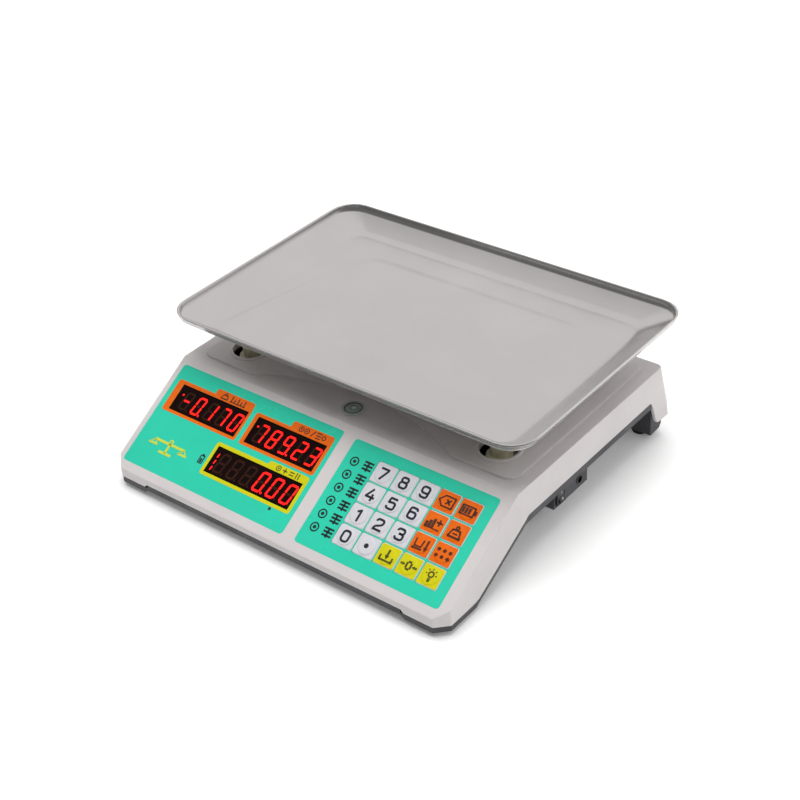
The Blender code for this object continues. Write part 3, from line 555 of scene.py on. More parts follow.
for name, colour in (("navy_ink", (0.014, 0.016, 0.030)), ("brown_ink", (0.080, 0.020, 0.006)),
                     ("olive_ink", (0.085, 0.075, 0.006)), ("green_ink", (0.008, 0.022, 0.022))):
    keep_finish(name, colour, 0.35, 0.50, 0.15, 200.0, grain=INK_GRAIN)
keep_finish("pale_yellow_ink", (0.62, 0.72, 0.060), 0.30, 0.42, 0.06, 120.0, grain=INK_GRAIN)
keep_finish("white_ink", (0.70, 0.70, 0.70), 0.40, 0.50, 0.08, 200.0, grain=INK_GRAIN)
keep_finish("smoked_face", (0.006, 0.0015, 0.001), 0.42, 0.52, 0.25, 60.0, grain=WINDOW_GRAIN,
            specular=0.08)
keep_finish("dark_segment", (0.036, 0.012, 0.007), 0.45, 0.55, 0.25, 260.0, grain=WINDOW_GRAIN,
            specular=0.08)
keep_finish("lit_segment", (1.0, 0.013, 0.010), 0.40, 0.50, 0.10, 260.0, grain=WINDOW_GRAIN, specular=0.1,
            glow=0.95)
keep_finish("green_board", (0.020, 0.160, 0.060), 0.40, 0.55, 0.15, 90.0, grain=(1500.0, 0.3, 0.00003))
keep_finish("black_case", (0.025, 0.025, 0.028), 0.42, 0.55, 0.15, grain=(1300.0, 0.6, 0.00005))
keep_finish("black_switch", (0.014, 0.014, 0.016), 0.30, 0.42, 0.15, 90.0, grain=(2200.0, 0.5, 0.00002))
keep_finish("clear_ring", (0.50, 0.52, 0.51), 0.16, 0.26, 0.10, 120.0, grain=(1600.0, 0.3, 0.00001),
            coat=0.4)
for name, colour, *look in (("spirit", (0.34, 0.42, 0.38), 0.08, 0.14, 0.12, 160.0),
                            ("bubble", (0.60, 0.72, 0.64), 0.05, 0.10, 0.06, 300.0)):
    keep_finish(name, colour, *look, grain=GLASS_GRAIN, coat=0.9, coat_rough=0.03)
keep_finish("pad_rubber", (0.020, 0.020, 0.020), 0.75, 0.92, 0.20, 120.0, grain=(1400.0, 0.7, 0.00006),
            dust=0.2)

SLOT_FINISH = {
    "shell_plastic": "white_moulding", "base_plastic": "grey_moulding", "pan_steel": "pan_sheet",
    "post_plastic": "cream_moulding", "frame_steel": "zinc_plate", "cell_aluminium": "milled_bar",
    "screw_steel": "zinc_screw", "label_film": "teal_film", "white_key": "white_film",
    "orange_key": "white_film", "yellow_key": "white_film", "display_lens": "smoked_face",
    "circuit_board": "green_board", "battery_case": "black_case", "switch_plastic": "black_switch",
    "level_bezel": "clear_ring", "level_vial": "spirit", "foot_rubber": "pad_rubber",
}


def finish_frame_nodes():
    """Give every node of the frame its finish."""
    for entry in frame["record"]["subparts"]:
        mesh = frame["nodes"][entry["node"]].data
        mesh.materials.clear()
        mesh.materials.append(FINISHES[SLOT_FINISH[entry["material_slot"]]])


# ---- weighing pan -----------------------------------------------------------------------------


PLATEAU_INSET = (0.0616, 0.0496)  # the raised middle starts this far inside the rim, along x and y
PLATEAU_SOFTER = (0.962, 0.935)   # how much smaller the raised middle becomes, to soften its step


def build_pan():
    """The pan as pressed sheet: its pressed lines roll over instead of folding sharply."""
    pan = copy_to(frame["nodes"]["weighing_pan"], "pan", Matrix.Identity(4))
    low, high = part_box("weighing_pan")
    middle, half = (low + high) / 2, (high - low) / 2
    pressed_up_to = low.z + 3.0 * MM
    choose(pan)
    edit_mode()
    take_all()
    bpy.ops.mesh.remove_doubles(threshold=0.01 * MM)
    bpy.ops.mesh.dissolve_limited(angle_limit=math.radians(0.5))
    object_mode()
    pick(pan, lambda place: abs(place.x - middle.x) < half.x - PLATEAU_INSET[0]
         and abs(place.y - middle.y) < half.y - PLATEAU_INSET[1])
    bpy.ops.transform.resize(value=(*PLATEAU_SOFTER, 1.0), center_override=middle)
    bpy.ops.mesh.select_mode(type="EDGE")
    bpy.ops.mesh.select_all(action="DESELECT")
    bpy.ops.mesh.edges_select_sharp(sharpness=math.radians(4))
    object_mode()
    mesh = pan.data
    for face in mesh.polygons:
        face.select = False
    for edge in mesh.edges:
        edge.select = edge.select and max(mesh.vertices[i].co.z for i in edge.vertices) < pressed_up_to
    edit_mode()
    bpy.ops.mesh.bevel(offset=2.1 * MM, segments=6, affect="EDGES")
    object_mode()
    bpy.ops.object.shade_smooth_by_angle(angle=math.radians(40))
    add_piece(pan, "pan_pressing", FINISHES["pan_sheet"], "pan")
    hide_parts("weighing_pan")


# ---- figures of the displays ------------------------------------------------------------------

SEGMENTS_LIT = {
    "0": "abcdef", "1": "bc", "2": "abged", "3": "abgcd", "4": "fgbc", "5": "afgcd",
    "6": "afgedc", "7": "abc", "8": "abcdefg", "9": "abcdfg", "-": "g", " ": "",
}
FIGURE_WIDE = 7.5 * MM           # between the middles of the upright segments
FIGURE_TALL = 16.3 * MM          # between the middles of the top and bottom segments
SEGMENT_THICK = 1.9 * MM
SEGMENT_GAP = 0.35 * MM
FIGURE_SLANT = math.tan(math.radians(8.5))


def make_segment(length):
    """One bar of a figure: a six-sided bar with pointed ends, upright."""
    radius = SEGMENT_THICK / 2 / math.cos(math.radians(30))
    obj = flat_disc(radius, sides=6)
    stretch = length / 2 - radius
    grab(obj, lambda place: place.y > 0, (0, stretch, 0))
    grab(obj, lambda place: place.y < -radius / 4, (0, -stretch, 0))
    return thicken(obj, INK)


SEGMENT_PLACES = {
    "a": (0, 0.5, True), "b": (0.5, 0.25, False), "c": (0.5, -0.25, False), "d": (0, -0.5, True),
    "e": (-0.5, -0.25, False), "f": (-0.5, 0.25, False), "g": (0, 0, True),
}


def lean(x, y):
    """Move a point of a figure sideways, because figures lean to the right."""
    return Matrix.Translation((x + FIGURE_SLANT * y, y, 0))


def build_figures(name, centres, text, points, node_frame, size, body_height):
    """All figures of one display: the lit bars as one piece and the unlit bars as another."""
    upright = make_segment(FIGURE_TALL / 2 - SEGMENT_GAP)
    level = make_segment(FIGURE_WIDE - SEGMENT_GAP)
    dot = thicken(flat_disc(1.0 * MM), INK)
    tilt = Matrix.Rotation(-math.atan(FIGURE_SLANT), 4, "Z")
    groups = {True: [], False: []}
    for index, (x, y) in enumerate(centres):
        here = node_frame @ Matrix.Translation((x, y, body_height)) @ Matrix.Scale(size, 4)
        for letter, (u, v, is_level) in SEGMENT_PLACES.items():
            turn = DOWN_TURN if is_level else tilt
            place = here @ lean(u * FIGURE_WIDE, v * FIGURE_TALL) @ turn
            source = level if is_level else upright
            lit = letter in SEGMENTS_LIT[text[index]]
            groups[lit].append(copy_to(source, "bar", place))
        place = here @ lean(FIGURE_WIDE / 2 + 2.3 * MM, -FIGURE_TALL / 2)
        groups[index in points].append(copy_to(dot, "bar", place))
    discard(upright, level, dot)
    for lit, pieces in groups.items():
        kind = "lit" if lit else "unlit"
        piece = apply_place(joined([apply_place(p) for p in pieces], f"{name}_{kind}"))
        finish = FINISHES["lit_segment" if lit else "dark_segment"]
        add_piece(piece, f"{name}_{kind}_bars", finish, "casing")


def build_front_figures():
    """Weight, price and total."""
    face = height_on("weight_display", PANEL)
    pitch = 13.2 * MM
    for name, last_x, down, text, points, step, size in (
            ("weight", -0.0818, 0.0340, "-0170", (1,), pitch, 0.89),
            ("price", -0.0023, 0.0340, "78923", (2,), pitch, 0.89),
            ("total", -0.0032, 0.0676, "   000", (3,), 13.6 * MM, 0.95)):
        count = len(text)
        centres = [(last_x - step * (count - 1 - i), -down) for i in range(count)]
        build_figures(name, centres, text, points, PANEL, size, face + FILM_LIFT)
    marks = []
    for down in (0.0630, 0.0685, 0.0740):
        marks.append(thicken(flat_plate(1.1 * MM, 3.6 * MM, 0.3 * MM, -0.0783, -down, -0.15), INK))
    marks.append(thicken(flat_disc(0.9 * MM, -0.1410, -0.0301), INK))
    marks.append(thicken(flat_disc(0.9 * MM, -0.0612, -0.0295), INK))
    lamps = put(joined(marks, "lamps"), PANEL @ Matrix.Translation((0, 0, face + FILM_LIFT)))
    add_piece(lamps, "indicator_lamps", FINISHES["lit_segment"], "casing")


def build_rear_figures():
    """The same three readings for the customer, smaller and in one row."""
    size = 0.52
    pitch = 6.55 * MM
    face = height_on("rear_display", BACK)
    centres = []
    x = -52.5 * MM
    for count in (5, 5, 6):
        for _ in range(count):
            centres.append((x, 0.0))
            x += pitch
        x += 2.2 * MM
    build_figures("rear", centres, "-017078923   000", (1, 7, 13), BACK, size, face + FILM_LIFT)


# ---- print on the labels ----------------------------------------------------------------------


def build_surround(name, finish, outer, tab, window):
    """The coloured frame round a display window, with its raised tab.

    Each outline is (left, right, upper, lower), the last two measured down from the fold.
    """
    def block(edges, corner, depth):
        left, right, upper, lower = edges
        plate = flat_plate(right - left, lower - upper, corner, (left + right) / 2, -(upper + lower) / 2)
        return thicken(plate, depth)

    piece = combine(block(outer, 2.2 * MM, INK), block(tab, 2.4 * MM, INK), "UNION")
    hole = block(window, 0, 6 * INK)
    hole.location.z = -3 * INK
    combine(piece, apply_place(hole), "DIFFERENCE")
    put(piece, on_panel(0, 0))
    add_piece(piece, name, FINISHES[finish], "casing")


def build_surrounds():
    build_surround("weight_surround", "orange_film", (-0.1525, -0.0735, 0.0190, 0.0475),
                   (-0.1140, -0.0740, 0.0140, 0.0240), (-0.1463, -0.0759, 0.0220, 0.0450))
    build_surround("price_surround", "orange_film", (-0.0690, 0.0065, 0.0193, 0.0476),
                   (-0.0345, 0.0065, 0.0140, 0.0240), (-0.0653, 0.0036, 0.0221, 0.0451))
    build_surround("total_surround", "yellow_film", (-0.0857, 0.0060, 0.0528, 0.0814),
                   (-0.0338, 0.0060, 0.0496, 0.0580), (-0.0828, 0.0030, 0.0559, 0.0786))


# Pictograms are drawn in millimetres about their middle: bars (from, to, width), rings and discs
# (x, y, radius) and triangles (x, y, radius, turn in degrees).
PICTOGRAMS = {
    "clear": {"bars": [(-5, 0, -2, 3.4, 0.7), (-2, 3.4, 5, 3.4, 0.7), (5, 3.4, 5, -3.4, 0.7),
                       (5, -3.4, -2, -3.4, 0.7), (-2, -3.4, -5, 0, 0.7), (0, -1.5, 3, 1.5, 0.8),
                       (0, 1.5, 3, -1.5, 0.8)]},
    "voltage": {"bars": [(-5, -2.8, 4, -2.8, 0.7), (4, -2.8, 4, 2.8, 0.7), (4, 2.8, -5, 2.8, 0.7),
                         (-5, 2.8, -5, -2.8, 0.7), (5, -1.2, 5, 1.2, 1.0), (-3.4, -1.6, -3.4, 1.6, 1.2),
                         (-1.2, -1.6, -1.2, 1.6, 1.2), (1.0, -1.6, 1.0, 1.6, 1.2)]},
    "accumulate": {"bars": [(-4.4, -3.2, -4.4, -0.6, 1.3), (-2.2, -3.2, -2.2, 0.8, 1.3),
                            (0, -3.2, 0, 2.2, 1.3), (3.6, -0.9, 3.6, 2.9, 0.8), (1.7, 1, 5.5, 1, 0.8),
                            (-5.2, -3.6, 5.2, -3.6, 0.5)]},
    "weight": {"bars": [(-4, -3.4, 4, -3.4, 0.9), (-4, -3.4, -2.6, 1.2, 0.8), (4, -3.4, 2.6, 1.2, 0.8),
                        (-2.6, 1.2, 2.6, 1.2, 0.8), (-1.6, -1.2, 1.6, -1.2, 0.7)],
               "rings": [(0, 2.7, 1.5)]},
    "tare": {"bars": [(-5, -3.4, 1.6, -3.4, 0.8), (-4, -2, 0.6, -2, 0.7), (-4, -2, -4.4, 2.6, 0.7),
                      (0.6, -2, 1, 2.6, 0.7), (3.8, 3.4, 3.8, -1, 0.9)],
             "triangles": [(3.8, -2.1, 1.8, 180)]},
    "count": {"discs": [(-4, 2, 1.2), (0, 2, 1.2), (4, 2, 1.2), (-4, -2, 1.2), (0, -2, 1.2)],
              "bars": [(3, -2, 5.2, -2, 0.7), (4.1, -3.1, 4.1, -0.9, 0.7)]},
    "store": {"bars": [(-4.2, -0.6, -4.2, -3.4, 0.8), (-4.2, -3.4, 4.2, -3.4, 0.8),
                       (4.2, -3.4, 4.2, -0.6, 0.8), (0, 3.6, 0, 0.2, 1.0)],
              "triangles": [(0, -0.8, 1.9, 180)]},
    "zero": {"bars": [(-1.5, -1.6, -1.5, 1.6, 0.9), (1.5, -1.6, 1.5, 1.6, 0.9), (-1.0, 2.3, 1.0, 2.3, 0.9),
                      (-1.0, -2.3, 1.0, -2.3, 0.9), (-5.6, 0, -4.6, 0, 0.8), (4.6, 0, 5.6, 0, 0.8)],
             "triangles": [(-3.6, 0, 1.3, -90), (3.6, 0, 1.3, 90)]},
    "light": {"rings": [(0, 0.9, 2.2)],
              "bars": [(-0.9, -1.9, 0.9, -1.9, 0.5), (-0.9, -2.8, 0.9, -2.8, 0.5),
                       (-0.6, -3.6, 0.6, -3.6, 0.5), (0, 3.7, 0, 4.6, 0.45),
                       (2.1, 3.0, 2.8, 3.7, 0.45), (-2.1, 3.0, -2.8, 3.7, 0.45),
                       (2.9, 0.9, 3.8, 0.9, 0.45), (-2.9, 0.9, -3.8, 0.9, 0.45)]},
    "weight_row": {"bars": [(-16, -2.8, -8, -2.8, 0.9), (-16, -2.8, -14.6, 1.0, 0.8),
                            (-8, -2.8, -9.4, 1.0, 0.8), (-14.6, 1.0, -9.4, 1.0, 0.8),
                            (-3, -2.6, -3, 2.6, 1.0), (1, -2.6, 1, 0.6, 1.0), (5, -2.6, 5, 2.6, 1.0),
                            (9, -2.6, 9, 0.6, 1.0), (13, -2.6, 13, 2.6, 1.0),
                            (-4.5, -2.9, 14.5, -2.9, 0.8)],
                   "rings": [(-12, 2.4, 1.4)]},
    "coin_row": {"rings": [(-13, 0, 3.0), (-6.4, 0, 3.0), (14, 0, 2.4)],
                 "discs": [(-13, 0, 1.0), (-6.4, 0, 1.0)],
                 "bars": [(-0.6, -3, 2.6, 3, 0.9), (5.4, -2.6, 10.4, -2.6, 0.9), (5.4, 0, 10.4, 0, 0.9),
                          (5.4, 2.6, 10.4, 2.6, 0.9)]},
    "sum_row": {"rings": [(-12, 0, 3.0)], "discs": [(-12, 0, 1.0)],
                "bars": [(-6.4, 0, -1.2, 0, 0.9), (-3.8, -2.6, -3.8, 2.6, 0.9), (2.0, 1.4, 7.2, 1.4, 0.9),
                         (2.0, -1.4, 7.2, -1.4, 0.9), (10.4, -3, 10.4, 3, 0.9), (13.4, -3, 13.4, 3, 0.9)]},
    "battery": {"bars": [(-1.7, -3.2, 1.7, -3.2, 0.6), (1.7, -3.2, 1.7, 2.4, 0.6),
                         (1.7, 2.4, -1.7, 2.4, 0.6), (-1.7, 2.4, -1.7, -3.2, 0.6),
                         (-0.7, 3.3, 0.7, 3.3, 0.8), (-0.6, -1.8, 0.6, -1.8, 1.0),
                         (-0.6, -0.2, 0.6, -0.2, 1.0)]},
    "balance": {"bars": [(-13, 2.6, 13, 2.6, 1.3), (0, 2.6, 0, -4, 1.3), (-5, -4.4, 5, -4.4, 1.3),
                         (-16.5, -0.6, -9.5, -0.6, 1.1), (9.5, -0.6, 16.5, -0.6, 1.1),
                         (-13, 2.6, -16.2, -0.4, 0.5), (-13, 2.6, -9.8, -0.4, 0.5),
                         (13, 2.6, 9.8, -0.4, 0.5), (13, 2.6, 16.2, -0.4, 0.5)],
                "rings": [(0, 4.4, 1.7)]},
    "note": {"rings": [(-5.6, 0, 3.5)], "discs": [(-5.6, 0, 1.3)],
             "bars": [(2.2, 2.9, 9.2, 2.9, 1.0), (2.2, 0.4, 9.2, 0.4, 1.0), (2.2, -2.2, 9.2, -2.2, 1.0),
                      (5.6, 2.9, 5.6, -3.4, 0.9)]},
}


def draw_pictogram(name, size=1.0, bold=1.35):
    """A pictogram as one thin plate on the working plane."""
    parts = PICTOGRAMS[name]
    pieces = []
    for x0, y0, x1, y1, line in parts.get("bars", ()):
        length = math.hypot(x1 - x0, y1 - y0) + line * 0.6
        pieces.append(flat_plate(length * MM, line * bold * MM, 0, (x0 + x1) / 2 * MM, (y0 + y1) / 2 * MM,
                                 math.atan2(y1 - y0, x1 - x0)))
    for x, y, radius in parts.get("rings", ()):
        pieces.append(flat_hoop(radius * MM, 0.7 * bold * MM, x * MM, y * MM))
    for x, y, radius in parts.get("discs", ()):
        pieces.append(flat_disc(radius * MM, x * MM, y * MM))
    for x, y, radius, turn in parts.get("triangles", ()):
        pieces.append(flat_disc(radius * MM, x * MM, y * MM, 3, math.radians(turn)))
    piece = thicken(joined(pieces, name), INK)
    piece.scale = (size, size, 1.0)
    return apply_place(piece)


# Numerals are drawn as pen strokes in their own unit: each is (closed, corner radius in mm, points).
NUMERALS = {
    "0": [(True, 2.3, [(-2.5, -4.1), (2.5, -4.1), (2.5, 4.1), (-2.5, 4.1)])],
    "1": [(False, 0.2, [(-1.9, 2.4), (0.6, 4.2), (0.6, -4.8)])],
    "2": [(False, 1.7, [(-2.5, 2.1), (-2.5, 4.1), (2.5, 4.1), (2.5, 0.6), (-2.5, -2.1), (-2.5, -4.1)]),
          (False, 0.2, [(-3.2, -4.1), (3.2, -4.1)])],
    "3": [(False, 1.7, [(-2.5, 2.2), (-2.5, 4.1), (2.4, 4.1), (2.4, 0.3), (-1.0, 0.3)]),
          (False, 1.7, [(-1.0, 0.3), (2.6, 0.3), (2.6, -4.1), (-2.6, -4.1), (-2.6, -2.1)])],
    "4": [(False, 0.3, [(0.6, 4.8), (-2.9, -2.0), (3.4, -2.0)]), (False, 0.2, [(1.4, 0.9), (1.4, -4.8)])],
    "5": [(False, 0.3, [(2.9, 4.1), (-2.0, 4.1), (-2.3, 0.2)]),
          (False, 1.6, [(-2.5, 0.4), (-0.6, 1.1), (2.6, 1.1), (2.6, -4.1), (-2.6, -4.1), (-2.6, -2.2)])],
    "6": [(True, 1.8, [(-2.5, -4.1), (2.5, -4.1), (2.5, 0.7), (-2.5, 0.7)]),
          (False, 1.6, [(-2.5, -1.5), (-2.5, 4.1), (2.4, 4.1), (2.4, 2.3)])],
    "7": [(False, 0.3, [(-3.1, 4.1), (2.6, 4.1), (2.2, 2.6), (-1.0, -4.8)])],
    "8": [(True, 1.7, [(-2.2, 0.4), (2.2, 0.4), (2.2, 4.1), (-2.2, 4.1)]),
          (True, 1.9, [(-2.5, -4.1), (2.5, -4.1), (2.5, 0.4), (-2.5, 0.4)])],
    "9": [(True, 1.8, [(-2.5, -0.7), (2.5, -0.7), (2.5, 4.1), (-2.5, 4.1)]),
          (False, 1.6, [(2.5, 1.5), (2.5, -4.1), (-2.4, -4.1), (-2.4, -2.3)])],
}
PEN = 1.8 * MM                   # width of a numeral's stroke
NUMERAL_UNIT = (1.2 * MM, 1.0 * MM)


def pull_path(points):
    """A wire pulled from one point to the next on the working plane."""
    deselect()
    bpy.ops.mesh.primitive_plane_add(size=MM)
    obj = active()
    edit_mode()
    bpy.ops.mesh.select_mode(type="VERT")
    take_all()
    bpy.ops.mesh.merge(type="CENTER")
    bpy.ops.transform.translate(value=(*points[0], 0))
    for here, there in zip(points, points[1:]):
        step = (there[0] - here[0], there[1] - here[1], 0)
        bpy.ops.mesh.extrude_region_move(TRANSFORM_OT_translate={"value": step})
    take_all()
    bpy.ops.mesh.remove_doubles(threshold=0.01 * MM)
    object_mode()
    return obj


def draw_stroke(closed, corner, path):
    """One pen stroke: a wire with rounded corners, pulled up by the ink and widened to the pen."""
    points = [Vector((x * NUMERAL_UNIT[0], y * NUMERAL_UNIT[1])) for x, y in path]
    obj = pull_path(points + points[:1] if closed else points)
    ends = [] if closed else [points[0], points[-1]]
    for vertex in obj.data.vertices:
        vertex.select = all((vertex.co.xy - end).length > 0.01 * MM for end in ends)
    edit_mode()
    bpy.ops.mesh.bevel(offset=corner * MM, segments=6, affect="VERTICES")
    take_all()
    bpy.ops.mesh.extrude_edges_move(TRANSFORM_OT_translate={"value": (0, 0, INK)})
    take_all()
    bpy.ops.mesh.normals_make_consistent(inside=False)
    object_mode()
    pen = obj.modifiers.new("pen", "SOLIDIFY")
    pen.thickness = PEN
    pen.offset = 0.0
    pen.use_even_offset = True
    bpy.ops.object.modifier_apply(modifier=pen.name)
    return edit_all(obj, lambda: None)


def draw_numeral(text):
    """A figure as thin strokes on the working plane."""
    return joined([draw_stroke(*stroke) for stroke in NUMERALS[text]], "figure_" + text)


def build_label_print():
    """Small marks on the two labels."""
    for name, mark, x, down, size, finish in (
            ("balance_mark", "balance", -0.1244, 0.0742, 1.2, "pale_yellow_ink"),
            ("weight_mark", "weight_row", -0.0940, 0.0180, 0.82, "brown_ink"),
            ("price_mark", "coin_row", -0.0140, 0.0180, 0.82, "brown_ink"),
            ("total_mark", "sum_row", -0.0139, 0.0527, 0.78, "olive_ink"),
            ("battery_mark", "battery", -0.0905, 0.0708, 1.1, "navy_ink")):
        piece = put(draw_pictogram(mark, size), on_panel(x, down, FILM_LIFT + INK))
        add_piece(piece, name, FINISHES[finish], "casing")
    notes = draw_pictogram("note", 1.1, 1.45)
    rows = [copy_to(notes, "row", on_panel(0.0378, 0.0245 + 0.0113 * row)) for row in range(6)]
    discard(notes)
    piece = joined([apply_place(row) for row in rows], "notes")
    add_piece(piece, "use_notes", FINISHES["green_ink"], "casing")
    piece = put(thicken(flat_disc(1.3 * MM), INK), on_panel(-0.0110, 0.0832))
    add_piece(piece, "lamp_dot", FINISHES["navy_ink"], "casing")


# ---- keys -------------------------------------------------------------------------------------

ORANGE_KEYS = ("clear", "voltage", "accumulate", "weight", "tare", "count")
YELLOW_KEYS = ("store", "zero", "light")
DOME_RADIUS = 6.9 * MM
DOME_BASE = 0.2 * MM             # height of the disc that the blister is drawn up from
DOME_STEPS = ((0.35, 0.16), (0.45, 0.10), (0.8, 0.06), (2.2, 0.04))  # inwards and up, in mm
DOME_TOP = 0.49 * MM             # the numerals stand just above the blister's crown
FIELD_THICK = 0.19 * MM
FIELD_CROWN = 0.03 * MM
FIELD_SINK = 0.17 * MM           # how deep a coloured field is set into its key
LATTICE_THICK = 0.3 * MM


def key_place(name):
    """Frame on the middle of a key's crown."""
    right, up, out = (PANEL.to_3x3().col[i] for i in range(3))
    x = sum(reach(name, right)) / 2
    y = sum(reach(name, up)) / 2
    z = reach(name, out)[1]
    return Matrix.Translation(right * x + up * y + out * z) @ PANEL.to_3x3().to_4x4()


def make_dome():
    """The round blister in the film over a key's switch."""
    deselect()
    bpy.ops.mesh.primitive_cylinder_add(vertices=48, radius=DOME_RADIUS, depth=DOME_BASE, location=(0, 0, 0))
    obj = apply_place(active())
    choose(obj)
    edit_mode()
    bpy.ops.mesh.select_mode(type="FACE")
    bpy.ops.mesh.select_all(action="DESELECT")
    object_mode()
    for face in obj.data.polygons:
        face.select = face.normal.z > 0.9
    edit_mode()
    for inwards, rise in DOME_STEPS:
        bpy.ops.mesh.inset(thickness=inwards * MM, depth=rise * MM)
    bpy.ops.mesh.poke()
    object_mode()
    bpy.ops.object.shade_smooth()
    return obj


def make_colour_tile():
    """The coloured field of a function key, inside its white border."""
    low, high = (reach("key_clear", PANEL.to_3x3().col[i]) for i in (0, 1))
    border = 0.65 * MM
    tile = flat_plate(low[1] - low[0] - 2 * border, high[1] - high[0] - 2 * border, 1.1 * MM)

    def crown():
        bpy.ops.mesh.extrude_region_move(TRANSFORM_OT_translate={"value": (0, 0, FIELD_THICK)})
        bpy.ops.mesh.inset(thickness=0.9 * MM, depth=FIELD_CROWN)
    return edit_all(tile, crown)


def build_keys():
    """Blister, coloured field and legend of each key."""
    dome, tile = make_dome(), make_colour_tile()
    for name in sorted(n for n in frame["nodes"] if n.startswith("key_")):
        kind = name.removeprefix("key_")
        place = key_place(name)
        body = "cap_" + kind
        film, slot, ink = "white_film", "white_key", "navy_ink"
        if kind in ORANGE_KEYS:
            film, slot, ink = "orange_film", "orange_key", "brown_ink"
        if kind in YELLOW_KEYS:
            film, slot, ink = "yellow_film", "yellow_key", "olive_ink"
        if slot != "white_key":
            field = apply_place(copy_to(tile, "field", place @ Matrix.Translation((0, 0, -FIELD_SINK))))
            add_piece(field, name + "_field", FINISHES[film], body)
        blister = apply_place(copy_to(dome, "blister", place))
        add_piece(blister, name + "_blister", FINISHES[film], body)
        if kind == "point":
            legend = thicken(flat_disc(1.9 * MM), INK)
        elif kind.isdigit():
            legend = draw_numeral(kind)
        else:
            legend = draw_pictogram(kind, 1.2, 1.55)
        put(legend, place @ Matrix.Translation((0, 0, DOME_TOP - INK)))
        add_piece(legend, name + "_legend", FINISHES[ink], body)
    discard(dome, tile)


def build_key_lattice():
    """The film between the keys, level with the keypad's label."""
    right, up, out = (PANEL.to_3x3().col[i] for i in range(3))
    names = [n for n in frame["nodes"] if n.startswith("key_")]
    spans = {n: (reach(n, right), reach(n, up)) for n in names}
    margin = 0.55 * MM
    left = min(s[0][0] for s in spans.values()) - margin
    far = max(s[0][1] for s in spans.values()) + margin
    low = min(s[1][0] for s in spans.values()) - margin
    high = max(s[1][1] for s in spans.values()) + margin
    plate = flat_plate(far - left, high - low, 0, (left + far) / 2, (low + high) / 2)
    sheet = thicken(plate, LATTICE_THICK)
    clear = 0.06 * MM
    holes = []
    for (x0, x1), (y0, y1) in spans.values():
        hole = flat_plate(x1 - x0 + 2 * clear, y1 - y0 + 2 * clear, 1.6 * MM, (x0 + x1) / 2, (y0 + y1) / 2)
        holes.append(thicken(hole, 1.0 * MM))
    tool = joined(holes, "holes")
    tool.location.z = -0.4 * MM
    combine(sheet, apply_place(tool), "DIFFERENCE")
    face = PANEL.translation.dot(out)
    sheet.matrix_world = PANEL.to_3x3().to_4x4() @ Matrix.Translation((0, 0, face - LATTICE_THICK))
    apply_place(sheet)
    add_piece(sheet, "key_lattice", FINISHES["teal_film"], "casing")


# ---- bubble level -----------------------------------------------------------------------------


BUBBLE_FLAT = 0.10                # the bubble lies flat under the glass


def build_level():
    """A black ring painted as the shade in the level's well, the etched circle and the bubble under the
    level's glass.
    """
    low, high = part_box("level_glass")
    x, y = (low.x + high.x) / 2, (low.y + high.y) / 2
    top = high.z
    ring_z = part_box("level_body")[1].z
    for name, major, minor, height, finish in (
            # the first ring is painted shade: a black torus sunk in the well where the level looks darker
            ("level_painted_shade_ring", 6.9, 0.55, ring_z - 0.40 * MM, "black_switch"),
            ("level_circle", 2.6, 0.14, top - 0.02 * MM, "black_switch")):
        deselect()
        bpy.ops.mesh.primitive_torus_add(major_radius=major * MM, minor_radius=minor * MM,
                                         major_segments=48, minor_segments=10, location=(x, y, height))
        obj = apply_place(active())
        bpy.ops.object.shade_smooth()
        add_piece(obj, name, FINISHES[finish], "casing")
    deselect()
    bpy.ops.mesh.primitive_uv_sphere_add(segments=24, ring_count=12, radius=1.9 * MM,
                                         location=(x + 0.6 * MM, y + 0.4 * MM, top - 0.04 * MM))
    obj = active()
    obj.scale = (1, 1, BUBBLE_FLAT)
    apply_place(obj)
    bpy.ops.object.shade_smooth()
    add_piece(obj, "level_bubble", FINISHES["bubble"], "casing")


# ---- switch marks -----------------------------------------------------------------------------


def rocker_half(upper):
    """A working frame on the upper or lower half of the rocker's face: x to the right, y up."""
    middle = sum(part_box("power_rocker"), Vector()) / 2
    mesh = frame["nodes"]["power_rocker"].data
    faces = [f for f in mesh.polygons if f.normal.x > 0.6 and (f.center.z > middle.z) == upper]
    area = sum(f.area for f in faces)
    spot = sum((f.center * f.area for f in faces), Vector()) / area
    out = sum((f.normal * f.area for f in faces), Vector()).normalized()
    up = (Vector((0, 0, 1)) - out * out.z).normalized()
    turn = Matrix((up.cross(out), up, out)).transposed().to_4x4()
    return Matrix.Translation(spot + out * FILM_LIFT) @ turn


def build_switch_marks():
    """The on and off marks on the rocker's two halves."""
    bar = thicken(flat_plate(0.5 * MM, 2.0 * MM, 0), INK)
    ring = thicken(flat_hoop(1.0 * MM, 0.4 * MM), INK)
    for piece, name, upper in ((bar, "on_mark", True), (ring, "off_mark", False)):
        put(piece, rocker_half(upper))
        add_piece(piece, name, FINISHES["white_ink"], "rocker")


# ---- studio -----------------------------------------------------------------------------------


FLOOR_SIDE = 12.0
CAMERA_PLACE = (0.662, -0.7573, 0.735)
CAMERA_TURN, CAMERA_RISE = math.radians(40.892), math.radians(34.243)
CAMERA_ROLL = -0.07514


def build_floor():
    deselect()
    bpy.ops.mesh.primitive_plane_add(size=FLOOR_SIDE, location=(0, 0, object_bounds()[0][2]))
    floor = active()
    floor.name = "studio_floor"
    paint = make_finish("floor_paint", (0.96, 0.96, 0.96), 0.75, 0.85, 0.004, 3.0, glow=0.14)
    floor.data.materials.append(paint)


def add_lamp(name, place, target, sides, power):
    """A soft lamp that lights matt faces but does not show in the sheet steel."""
    data = bpy.data.lights.new(name, "AREA")
    data.shape = "RECTANGLE"
    data.size, data.size_y = sides
    data.energy = power
    lamp = bpy.data.objects.new(name, data)
    bpy.context.scene.collection.objects.link(lamp)
    lamp.location = place
    lamp.visible_glossy = False
    lamp.rotation_euler = (Vector(target) - Vector(place)).to_track_quat("-Z", "Y").to_euler()


